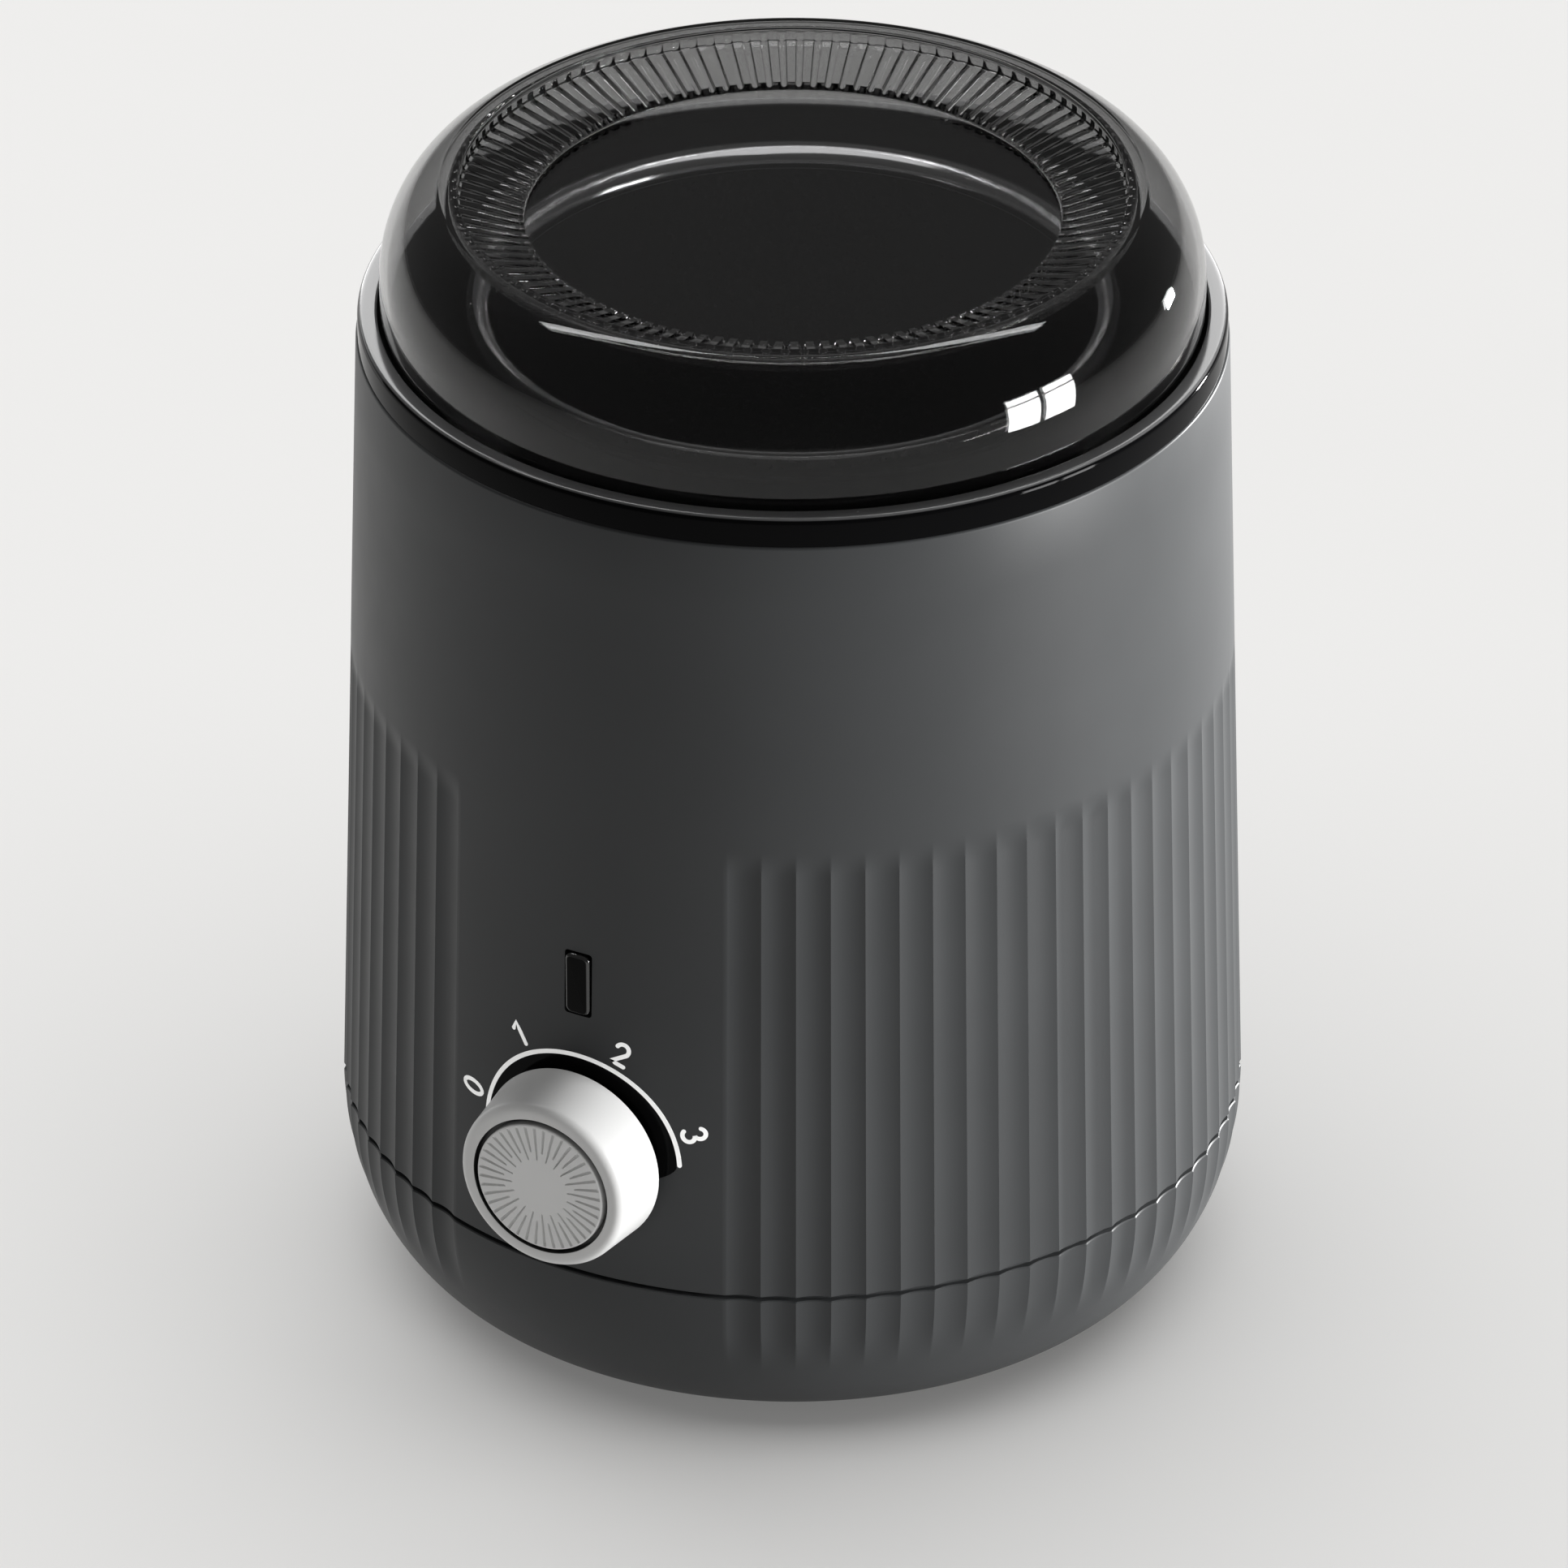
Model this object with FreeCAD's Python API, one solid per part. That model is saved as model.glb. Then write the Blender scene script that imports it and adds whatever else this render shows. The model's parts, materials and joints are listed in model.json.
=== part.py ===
import FreeCAD
import Part
import math
import os

# Wax heater: fluted round casing, black deck, lift-out pot, clear lid and a front dial.
# Millimetres. The origin is on the floor at the casing's axis, +Z is up, the dial faces -Y.

V = FreeCAD.Vector
TINY = 1e-6                # shorter edges are left out

# Casing
FOOT_HEIGHT = 2.0          # floor to the underside of the base
SEAM_Z = 25.0              # middle of the gap between base and body
SEAM_R = 60.0              # casing radius at the seam, its widest place
SEAM_GAP = 0.6
SEAM_DEPTH = 1.1
BASE_TUCK = 13.4           # how far the base draws in from the seam to its underside
BODY_HEIGHT = 111.2        # seam to the body's rim
BODY_RIM_ROUND = 0.4
BODY_DRAFT = 0.03          # radius lost for each millimetre of height
CASE_WALL = 2.4
SPIGOT_WALL = 1.8          # lips of base and deck that reach into the body
BASE_SPIGOT = 4.0
DECK_SPIGOT = 6.0
FIT = 0.2                  # easy fit between fixed pieces
CLOSE_FIT = 0.05           # close fit of turned pieces
ROOT = 0.6                 # how far ribs, lugs and pads sink into the wall behind them
OVER = 1.0                 # cutters reach this far past the faces they open

# Flutes of the casing, left out over the front panel
FLUTE_PITCHES = 82
PANEL_PITCHES = 9
FLUTE_DEPTH = 0.42
FLUTE_RISE = 67.3          # seam to the top of the flutes
FLUTE_TOP_FADE = 4.5
FLUTE_DROP = 13.0          # seam to the foot of the flutes
FLUTE_FOOT_FADE = 7.5
FADE_STEPS = 3
CURVE_STEPS = 6            # spans of each quarter ellipse

# Feet and casing screws
FOOT_R = 5.0
FOOT_SINK = 1.0
FOOT_ROUND = 0.6
FOOT_INSET = 8.6           # foot circle inside the edge of the underside
FOOT_COUNT = 4
COLUMN_R = 3.6             # screw columns of the body
COLUMN_INSET = 5.0
COLUMN_COUNT = 4
COLUMN_RIB = 1.8
RIB_CLEAR = 1.0            # rib ends to the base's spigot and the baffle
SCREW_PAD = 3.6            # pad on the base's floor under each column
PAD_MARGIN = 0.8
HEAD_SINK = 3.0
SCREW_R = 1.5
SCREW_HEAD_R = 2.8
SCREW_HEAD_H = 1.8
SCREW_SLOT = 0.7
PILOT_EXTRA = 0.5          # screw holes beyond the screw's tip
BASE_SCREW = 12.0
BAFFLE_SCREW = 8.0
CUP_SCREW = 6.5
DECK_SCREW = 10.0

# Deck, the black ring on top
DECK_INSET = 0.25          # deck edge inside the body's rim
DECK_EDGE_H = 3.95
DECK_EDGE_ROUND = 0.7
DECK_LAND = 2.6            # width of the deck's top edge
DECK_LAND_ROUND = 0.4
DECK_STEP = 2.0            # seat of the lid below that edge
DECK_T = 2.2
DECK_SKIRT = 2.0
DECK_LIP = 2.5             # raised lip under the pot's rim
POT_STAND = 0.6            # height of that lip
LIP_ROUND = 0.3
CUP_DROP = 6.0             # deck underside to the cup's flange
POST_R = 2.4               # posts that hold the deck down
POST_DROP = 14.3
LUG_T = 2.5
LUG_WIDTH = 8.0
TOP_SCREWS = 3

# Lid
LID_CLEARANCE = 0.3
LID_WALL = 2.2
LID_HEIGHT = 19.15
LID_SHOULDER_W = 9.4
LID_SHOULDER_H = 13.2
LID_LIP = 0.9
LID_LIP_DROP = 2.0
RIB_COUNT = 114
RIB_RING = 8.9             # width of the ribbed ring
RIB_RING_DROP = 2.4
RIB_TOOTH = 1.4
RIB_TOOTH_TOP = 0.6
FLOOR_STEP = 0.6
REST_GAP = 0.3             # lifted-off pieces stand this far off their seats

# Pot, cup and heater
POT_AIR = 8.8              # lid's wall to the pot's rim
POT_ROLL = 2.5
POT_RIM_H = 2.0
POT_RIM_ROUND = 1.2
POT_RIM_FOOT = 0.6         # rounding under the rim
POT_MOUTH_ROUND = 1.0
POT_WALL = 1.2
POT_DRAFT = 0.02
POT_ROUND = 5.0
POT_CLEAR = 0.6
CUP_WALL = 1.5
CUP_GAP = 7.0              # room under the cup for bulb and fuse
GASKET_T = 0.8
BAND_FOOT = 8.2            # cup's bottom to the heater band
BAND_H = 28.0
BAND_T = 1.4
BAND_SLIT = 10.0           # open width of the band at the rear
TAB_X = 6.5                # heater tabs either side of the slit
TAB_W = 3.0
TAB_T = 0.7
TAB_LENGTH = 7.5
CLAMP_H = 8.0
CLAMP_T = 0.6
CLAMP_SLIT = 5.0
EAR_LENGTH = 8.0
EAR_T = 0.8
EAR_HOLE = 5.2             # strap to the clamp screw
CLAMP_SCREW_R = 1.5
CLAMP_SCREW = 12.0
CLAMP_NUT_R = 3.0
CLAMP_NUT_H = 2.4
SLEEVE_GAP = 0.4
SLEEVE_T = 3.4
SLEEVE_HEAD = 13.45        # sleeve's top to the cup's flange
SLEEVE_SLIT = 28.0

# Dial and thermostat
KNOB_RISE = 18.35          # seam to the dial's axis
KNOB_GAP = 0.9
KNOB_R = 12.8
KNOB_FRONT_R = 11.9
KNOB_DEPTH = 8.9
KNOB_WALL = 1.6
KNOB_ROUND = 1.3
KNOB_BACK_ROUND = 0.3
HUB_R = 4.6
CAP_R = 9.6
CAP_SEAT = 1.2
CAP_PROUD = 0.2
CAP_ROUND = 0.25
CAP_LINES = 40
CAP_LINE_W = 0.35
CAP_LINE_DEPTH = 0.15
CAP_LINE_IN = 4.4
CAP_LINE_EDGE = 0.6
SHAFT_R = 3.0
SHAFT_FLAT = 2.4
SHAFT_INTO_KNOB = 4.0
SHAFT_COLLAR_R = 5.0
SHAFT_COLLAR_T = 1.5
SHAFT_PLAY = 0.3
BUSH_R = 4.9
BUSH_PROUD = 0.9           # bush beyond the nut
NUT_FLATS = 14.0
NUT_T = 2.5
SPOT_DEPTH = 0.6           # flat turned into the panel for the nut
SPOT_MARGIN = 0.6
PAD_R = 9.5
STAT_W = 20.0
STAT_H = 24.0
STAT_D = 18.0
STAT_PLATE = 1.0
STAT_ROUND = 1.0
STAT_CLEAR = 0.5           # plate corners to the casing wall
STAT_ROOF = 2.65           # thermostat to the baffle
TERMINAL_X = 5.0
TERMINAL_RISE = 6.0
TERMINAL_W = 6.3
TERMINAL_T = 0.8
TERMINAL_L = 8.0

# Heat baffle, sensing bulb and thermal fuse
BAFFLE_T = 0.8
BAFFLE_EDGE = 4.5          # baffle to the casing wall
BAFFLE_HOLE_R = 2.5
LAMP_NOTCH_W = 22.0
LAMP_NOTCH_D = 9.0
BULB_R = 2.2
BULB_L = 28.0
BULB_Y = -12.0
FUSE_R = 1.9
FUSE_L = 12.0
FUSE_WIRE_R = 0.5
FUSE_WIRE_L = 6.0
FUSE_Y = 12.0
CLIP_T = 0.8
CLIP_W = 8.0
CLIP_FOOT = 4.0

# Indicator lamp
LENS_RISE = 25.15          # dial's axis to the lens
LENS_W = 3.6
LENS_H = 9.0
LENS_BEVEL = 0.5
LENS_SINK = 0.2
LENS_FLANGE = 1.2
LENS_PAD = 0.7
LENS_ROUND = 0.5
HOLDER_D = 6.0
HOLDER_MARGIN = 1.0
WINDOW_ROUND = 0.3
LAMP_R = 2.4
LAMP_L = 12.0
LAMP_DOME = 1.9
LAMP_FOOT_ROUND = 0.3
LAMP_LEAD_R = 0.5
LAMP_LEAD_X = 1.0

# Mains inlet at the rear, for two round pins
INLET_RISE = 16.0          # seam to the inlet
INLET_W = 20.0
INLET_H = 13.0
INLET_D = 15.0
INLET_FLANGE = 1.6
INLET_PROUD = 0.5
INLET_SPOT = 2.3           # flat cut into the casing for the flange
INLET_ROUND = 2.0
SOCKET_W = 14.6
SOCKET_H = 8.2
SOCKET_D = 12.0
SOCKET_ROUND = 4.0
PIN_R = 1.18
PIN_PITCH = 8.6
PIN_RECESS = 1.5
PIN_TAIL = 5.0
PIN_ROUND = 0.6

# Leads
LEAD_R = 1.0
CAPILLARY_R = 0.9
CAPILLARY_DROP = 5.35      # below the dial's axis
LEAD_BEND = 4.0
BEND_SHARE = 0.45          # share of a run that a bend may take
LIVE_STUB = 12.0           # straight run from a pin or terminal
NEUTRAL_STUB = 14.0
TERMINAL_STUB = 14.0
CAPILLARY_STUB = 12.0
LIVE_RISE = 5.0            # corners of the routes above the inlet
NEUTRAL_RISE = 7.0
CAPILLARY_RISE = 3.0       # above the dial's axis
FUSE_LEAD_DROP = 3.0       # below the terminals
HEATER_LEAD_DROP = 5.0     # below the baffle
NEUTRAL_DROP = 2.0

# Heights and radii that follow
BASE_TOP = SEAM_Z - SEAM_GAP / 2
BODY_FOOT = SEAM_Z + SEAM_GAP / 2
RIM_Z = SEAM_Z + BODY_HEIGHT
BASE_BOTTOM_R = SEAM_R - BASE_TUCK
BASE_FLOOR = FOOT_HEIGHT + CASE_WALL
FLUTE_TOP = SEAM_Z + FLUTE_RISE
FLUTE_FOOT = SEAM_Z - FLUTE_DROP
FLUTE_PITCH = 360.0 / FLUTE_PITCHES
PANEL_ANGLE = PANEL_PITCHES * FLUTE_PITCH
FRONT = -90.0
COLUMN_CIRCLE = BASE_BOTTOM_R - COLUMN_INSET
COLUMN_FOOT = BASE_FLOOR + SCREW_PAD
FOOT_CIRCLE = BASE_BOTTOM_R - FOOT_INSET
KNOB_Z = SEAM_Z + KNOB_RISE
LENS_Z = KNOB_Z + LENS_RISE
INLET_Z = SEAM_Z + INLET_RISE
TERMINAL_Z = KNOB_Z + TERMINAL_RISE
STAT_TOP = KNOB_Z + STAT_H / 2
BAFFLE_Z = STAT_TOP + STAT_ROOF
BAFFLE_TOP = BAFFLE_Z + BAFFLE_T
CUP_BOTTOM = BAFFLE_TOP + CUP_GAP
CUP_FLOOR = CUP_BOTTOM + CUP_WALL
POT_BOTTOM = CUP_FLOOR + REST_GAP
DECK_TOP = RIM_Z + DECK_EDGE_H
DECK_Z = DECK_TOP - DECK_STEP
DECK_UNDER = DECK_Z - DECK_T
LIP_TOP = DECK_Z + POT_STAND
CUP_FLANGE_Z = DECK_UNDER - CUP_DROP
RIM_UNDER = LIP_TOP + REST_GAP
POT_TOP = RIM_UNDER + POT_RIM_H
LID_FOOT = DECK_Z + REST_GAP
LID_TOP = LID_FOOT + LID_HEIGHT
LUG_TOP = DECK_UNDER - POST_DROP


def body_r(z):
    """Radius of the casing's plain outer wall above the seam."""
    return SEAM_R - BODY_DRAFT * (z - SEAM_Z)


def inner_r(z):
    return body_r(z) - CASE_WALL


DECK_R = body_r(RIM_Z) - DECK_INSET
SEAT_R = DECK_R - DECK_LAND
LID_R = SEAT_R - LID_CLEARANCE
POT_RIM_R = LID_R - LID_WALL - POT_AIR
POT_R = POT_RIM_R - POT_ROLL
HOLE_R = POT_R + POT_CLEAR
DECK_SPIGOT_R = inner_r(RIM_Z) - FIT
POST_CIRCLE = DECK_SPIGOT_R - POST_R
FLANGE_R = POST_CIRCLE - POST_R - FIT
CUP_SCREW_CIRCLE = FLANGE_R - SCREW_HEAD_R - FIT
BAFFLE_R = inner_r(BAFFLE_Z) - BAFFLE_EDGE


def pot_r(z):
    """Radius of the pot's tapered outer wall."""
    return POT_R - POT_DRAFT * (RIM_UNDER - z)


def cup_r(z):
    """Radius of the cup's outer wall, which follows the pot."""
    return pot_r(z) + POT_CLEAR + CUP_WALL


# Distances from the casing's axis along the dial's axis
PANEL_FACE = body_r(KNOB_Z)
SPOT_FACE = PANEL_FACE - SPOT_DEPTH
PAD_FACE = math.sqrt(inner_r(STAT_TOP) ** 2 - (STAT_W / 2) ** 2) - STAT_CLEAR
STAT_FRONT = PAD_FACE - STAT_PLATE
STAT_BACK = STAT_FRONT - STAT_D
NUT_FACE = SPOT_FACE + NUT_T
BUSH_END = NUT_FACE + BUSH_PROUD
KNOB_BACK = PANEL_FACE + KNOB_GAP
KNOB_FACE = KNOB_BACK + KNOB_DEPTH
CAP_BACK = KNOB_FACE - CAP_SEAT
KNOB_WEB = CAP_BACK - KNOB_WALL
HUB_BACK = BUSH_END + FIT
SHAFT_END = HUB_BACK + SHAFT_INTO_KNOB

# Places under the cup and of the lead ends
BULB_Z = CUP_BOTTOM - BULB_R - CLOSE_FIT
FUSE_Z = CUP_BOTTOM - FUSE_R - CLOSE_FIT
BAND_BOTTOM = CUP_BOTTOM + BAND_FOOT
TAB_FOOT = BAND_BOTTOM - TAB_LENGTH
TAB_Y = math.sqrt(cup_r(BAND_BOTTOM) ** 2 - TAB_X ** 2) + BAND_T / 2 + CLOSE_FIT
CLAMP_MIDDLE = BAND_BOTTOM + BAND_H / 2
SLEEVE_R = cup_r(BAND_BOTTOM + BAND_H) + BAND_T + CLAMP_T + 2 * CLOSE_FIT + SLEEVE_GAP
INLET_FACE = body_r(INLET_Z) + INLET_PROUD
INLET_SEAT = body_r(INLET_Z) - INLET_SPOT
INLET_BACK = INLET_FACE - INLET_D
PIN_END = INLET_BACK - PIN_TAIL
FUSE_END = FUSE_L / 2 + FUSE_WIRE_L
LEAD_SIDE = FUSE_END + 2 * LEAD_BEND
CAPILLARY_SIDE = BULB_L / 2 + 2 * LEAD_BEND


# Shape helpers

def polar(radius, degrees, z=0.0):
    a = math.radians(degrees)
    return V(radius * math.cos(a), radius * math.sin(a), z)


def spaced(count, first=0.0):
    """Angles of evenly spaced copies."""
    return [first + i * 360.0 / count for i in range(count)]


def corner_edges(corners):
    """Closed outline in the XZ plane; a corner is (x, z) or (x, z, rounding)."""
    points = [V(c[0], 0, c[1]) for c in corners]
    rounds = [c[2] if len(c) > 2 else 0.0 for c in corners]
    count = len(points)
    starts, ends, mids = [], [], []
    for i, (point, rounding) in enumerate(zip(points, rounds)):
        back = (points[i - 1] - point).normalize()
        ahead = (points[(i + 1) % count] - point).normalize()
        half = back.getAngle(ahead) / 2
        reach = rounding / math.tan(half)
        starts.append(point + back * reach)
        ends.append(point + ahead * reach)
        middle = (back + ahead).normalize()
        mids.append(point + middle * (rounding / math.sin(half) - rounding))
    edges = []
    for i in range(count):
        if rounds[i]:
            edges.append(Part.Arc(starts[i], mids[i], ends[i]).toShape())
        following = starts[(i + 1) % count]
        if (following - ends[i]).Length > TINY:
            edges.append(Part.LineSegment(ends[i], following).toShape())
    return edges


def turned(corners):
    """Solid of revolution about Z from an outline of radii and heights."""
    face = Part.Face(Part.Wire(corner_edges(corners)))
    return face.revolve(V(0, 0, 0), V(0, 0, 1), 360)


def rod(radius, start, end):
    return Part.makeCylinder(radius, (end - start).Length, start, end - start)


def upright(radius, x, y, low, high):
    return rod(radius, V(x, y, low), V(x, y, high))


def block(low, high):
    size = [b - a for a, b in zip(low, high)]
    return Part.makeBox(*size, V(*low))


def rounded_block(width, height, low, high, rounding):
    """Block about Z with its four upright edges rounded."""
    half_w = width / 2
    half_h = height / 2
    corners = [(-half_w, -half_h, rounding), (half_w, -half_h, rounding),
               (half_w, half_h, rounding), (-half_w, half_h, rounding)]
    face = Part.Face(Part.Wire(corner_edges(corners)))
    solid = face.extrude(V(0, high - low, 0))
    solid.rotate(V(0, 0, 0), V(1, 0, 0), 90)
    solid.translate(V(0, 0, low))
    return solid


def to_front(shape, z):
    """Turn a piece made about Z so that its axis points out of the front at height z."""
    shape.rotate(V(0, 0, 0), V(1, 0, 0), 90)
    shape.translate(V(0, 0, z))
    return shape


def to_rear(shape, z):
    shape.rotate(V(0, 0, 0), V(1, 0, 0), -90)
    shape.translate(V(0, 0, z))
    return shape


def screw(length, place, up=True, shank=SCREW_R):
    """Pan-head screw whose head seats at place and whose shank points up or down."""
    head = Part.makeCylinder(SCREW_HEAD_R, SCREW_HEAD_H, V(0, 0, -SCREW_HEAD_H))
    solid = head.fuse(Part.makeCylinder(shank, length))
    slot = block((-SCREW_HEAD_R, -SCREW_SLOT / 2, -SCREW_HEAD_H),
                 (SCREW_HEAD_R, SCREW_SLOT / 2, -SCREW_HEAD_H + SCREW_SLOT))
    solid = solid.cut(slot)
    if not up:
        solid.rotate(V(0, 0, 0), V(1, 0, 0), 180)
    solid.translate(place)
    return solid


def bent_tube(points, radius):
    """Round lead along straight runs joined by tangent bends."""
    points = [V(*p) for p in points]
    path = []
    here = points[0]
    for before, corner, after in zip(points, points[1:], points[2:]):
        back = (before - corner).normalize()
        ahead = (after - corner).normalize()
        half = back.getAngle(ahead) / 2
        room = BEND_SHARE * min((before - corner).Length, (after - corner).Length)
        bend = min(LEAD_BEND, room * math.tan(half))
        reach = bend / math.tan(half)
        start = corner + back * reach
        end = corner + ahead * reach
        middle = corner + (back + ahead).normalize() * (bend / math.sin(half) - bend)
        path.append(Part.LineSegment(here, start).toShape())
        path.append(Part.Arc(start, middle, end).toShape())
        here = end
    path.append(Part.LineSegment(here, points[-1]).toShape())
    wire = Part.Wire(path)
    section = Part.Wire(Part.Circle(points[0], points[1] - points[0], radius).toShape())
    return wire.makePipeShell([section], True, False)


# Fluted casing

def fluted_wire(radius, depth, z):
    """Ring of hollow flutes closed by the plain front panel."""
    edges = []
    first = FRONT + PANEL_ANGLE / 2
    for i in range(FLUTE_PITCHES - PANEL_PITCHES):
        a = first + i * FLUTE_PITCH
        start = polar(radius, a, z)
        hollow = polar(radius - depth, a + FLUTE_PITCH / 2, z)
        end = polar(radius, a + FLUTE_PITCH, z)
        edges.append(Part.Arc(start, hollow, end).toShape())
    last = polar(radius, FRONT - PANEL_ANGLE / 2, z)
    edges.append(Part.Arc(last, polar(radius, FRONT, z), polar(radius, first, z)).toShape())
    return Part.Wire(edges)


def fade(share):
    """Smooth rise from 0 to 1."""
    return share * share * (3 - 2 * share)


def base_r(z):
    """Radius of the base's bowl, a quarter ellipse below the seam."""
    drop = (BASE_TOP - z) / (BASE_TOP - FOOT_HEIGHT)
    return BASE_BOTTOM_R + BASE_TUCK * math.sqrt(max(0.0, 1 - drop * drop))


def column_places():
    return [polar(COLUMN_CIRCLE, a) for a in spaced(COLUMN_COUNT, 180.0 / COLUMN_COUNT)]


def make_body_shell():
    wires = [fluted_wire(body_r(BODY_FOOT), FLUTE_DEPTH, BODY_FOOT)]
    for i in range(FADE_STEPS + 1):
        z = FLUTE_TOP - FLUTE_TOP_FADE * (1 - i / FADE_STEPS)
        wires.append(fluted_wire(body_r(z), FLUTE_DEPTH * fade(1 - i / FADE_STEPS), z))
    fluted = Part.makeLoft(wires, True, True)
    upper = turned([(0, FLUTE_TOP), (body_r(FLUTE_TOP), FLUTE_TOP),
                    (body_r(RIM_Z), RIM_Z, BODY_RIM_ROUND), (0, RIM_Z)])
    hollow = turned([(0, BODY_FOOT), (inner_r(BODY_FOOT), BODY_FOOT),
                     (inner_r(RIM_Z), RIM_Z), (0, RIM_Z)])
    shell = fluted.fuse(upper).cut(hollow)
    added = []
    holes = []
    for place, angle in zip(column_places(), spaced(COLUMN_COUNT, 180.0 / COLUMN_COUNT)):
        added.append(upright(COLUMN_R, place.x, place.y, COLUMN_FOOT, BAFFLE_Z))
        rib_low = BODY_FOOT + BASE_SPIGOT + RIB_CLEAR
        rib = block((COLUMN_CIRCLE, -COLUMN_RIB / 2, rib_low),
                    (inner_r(rib_low) + ROOT, COLUMN_RIB / 2, BAFFLE_Z - RIB_CLEAR))
        rib.rotate(V(0, 0, 0), V(0, 0, 1), angle)
        added.append(rib)
        pilot = SCREW_R + CLOSE_FIT
        base_tip = FOOT_HEIGHT + HEAD_SINK + BASE_SCREW + PILOT_EXTRA
        baffle_tip = BAFFLE_TOP - BAFFLE_SCREW - PILOT_EXTRA
        holes.append(upright(pilot, place.x, place.y, COLUMN_FOOT - OVER, base_tip))
        holes.append(upright(pilot, place.x, place.y, baffle_tip, BAFFLE_Z + OVER))
    for angle in spaced(TOP_SCREWS, FRONT):
        lug = block((POST_CIRCLE - POST_R, -LUG_WIDTH / 2, LUG_TOP - LUG_T),
                    (inner_r(LUG_TOP) + ROOT, LUG_WIDTH / 2, LUG_TOP))
        lug.rotate(V(0, 0, 0), V(0, 0, 1), angle)
        added.append(lug)
        place = polar(POST_CIRCLE, angle)
        holes.append(upright(SCREW_R + CLOSE_FIT, place.x, place.y, LUG_TOP - LUG_T - OVER, LUG_TOP + OVER))
    pad_root = inner_r(KNOB_Z) + ROOT
    added.append(to_front(Part.makeCylinder(PAD_R, pad_root - PAD_FACE, V(0, 0, PAD_FACE)), KNOB_Z))
    added.append(to_front(lens_pad(), LENS_Z))
    spot_r = NUT_FLATS / math.sqrt(3) + SPOT_MARGIN
    holes.append(to_front(rod(spot_r, V(0, 0, SPOT_FACE), V(0, 0, KNOB_BACK)), KNOB_Z))
    holes.append(to_front(rod(BUSH_R + FIT, V(0, 0, PAD_FACE - OVER), V(0, 0, KNOB_BACK)), KNOB_Z))
    slot = rounded_block(LENS_W + 2 * FIT, LENS_H + 2 * FIT, lens_seat() - OVER, SEAM_R, LENS_BEVEL)
    holes.append(to_front(slot, LENS_Z))
    flange_w = INLET_W + 2 * INLET_FLANGE
    flange_h = INLET_H + 2 * INLET_FLANGE
    spot = rounded_block(flange_w + 2 * FIT, flange_h + 2 * FIT, INLET_SEAT, SEAM_R + OVER, INLET_ROUND)
    through = rounded_block(INLET_W + 2 * FIT, INLET_H + 2 * FIT, INLET_BACK, SEAM_R + OVER, INLET_ROUND)
    holes.append(to_rear(spot, INLET_Z))
    holes.append(to_rear(through, INLET_Z))
    return shell.fuse(added).cut(holes)


def make_base_shell():
    wires = [fluted_wire(base_r(BASE_TOP), FLUTE_DEPTH, BASE_TOP)]
    for i in range(FADE_STEPS + 1):
        z = FLUTE_FOOT + FLUTE_FOOT_FADE * (1 - i / FADE_STEPS)
        wires.append(fluted_wire(base_r(z), FLUTE_DEPTH * fade(1 - i / FADE_STEPS), z))
    bowl_start = math.asin((BASE_TOP - FLUTE_FOOT) / (BASE_TOP - FOOT_HEIGHT))
    for i in range(1, CURVE_STEPS + 1):
        turn = bowl_start + (math.pi / 2 - bowl_start) * i / CURVE_STEPS
        z = BASE_TOP - (BASE_TOP - FOOT_HEIGHT) * math.sin(turn)
        wires.append(fluted_wire(BASE_BOTTOM_R + BASE_TUCK * math.cos(turn), 0.0, z))
    outer = Part.makeLoft(wires[::-1], True, True)
    lip_out = inner_r(BODY_FOOT) - FIT
    lip_in = lip_out - SPIGOT_WALL
    lip_top = BODY_FOOT + BASE_SPIGOT
    lip_root = BASE_TOP - 2 * BASE_SPIGOT
    lip = turned([(lip_in, lip_root), (lip_out, lip_root), (lip_out, BODY_FOOT),
                  (inner_r(lip_top) - FIT, lip_top), (lip_in, lip_top)])
    land = turned([(lip_in, BASE_TOP - ROOT), (SEAM_R - SEAM_DEPTH, BASE_TOP - ROOT),
                   (SEAM_R - SEAM_DEPTH, BODY_FOOT), (lip_in, BODY_FOOT)])
    added = [lip, land]
    holes = []
    pad_r = COLUMN_R + PAD_MARGIN
    for place in column_places():
        added.append(upright(pad_r, place.x, place.y, FOOT_HEIGHT + ROOT, COLUMN_FOOT))
        under = FOOT_HEIGHT - OVER
        holes.append(upright(SCREW_R + FIT, place.x, place.y, under, COLUMN_FOOT + OVER))
        holes.append(upright(SCREW_HEAD_R + FIT, place.x, place.y, under, FOOT_HEIGHT + HEAD_SINK))
    for angle in spaced(FOOT_COUNT):
        place = polar(FOOT_CIRCLE, angle)
        holes.append(upright(FOOT_R + FIT, place.x, place.y, FOOT_HEIGHT - OVER, FOOT_HEIGHT + FOOT_SINK))
    return outer.cut(bowl_hollow()).fuse(added).cut(holes)


def bowl_hollow():
    """Inside of the base, one wall in from its bowl."""
    wide = BASE_TUCK - CASE_WALL
    tall = BASE_TOP - BASE_FLOOR
    spots = []
    for i in range(CURVE_STEPS + 1):
        turn = math.pi / 2 * (1 - i / CURVE_STEPS)
        spots.append(V(BASE_BOTTOM_R + wide * math.cos(turn), 0, BASE_TOP - tall * math.sin(turn)))
    curve = Part.BSplineCurve()
    curve.interpolate(spots)
    foot = V(0, 0, BASE_FLOOR)
    top = V(0, 0, BASE_TOP)
    edges = [Part.LineSegment(foot, spots[0]).toShape(), curve.toShape(),
             Part.LineSegment(spots[-1], top).toShape(), Part.LineSegment(top, foot).toShape()]
    return Part.Face(Part.Wire(edges)).revolve(V(0, 0, 0), V(0, 0, 1), 360)


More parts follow.
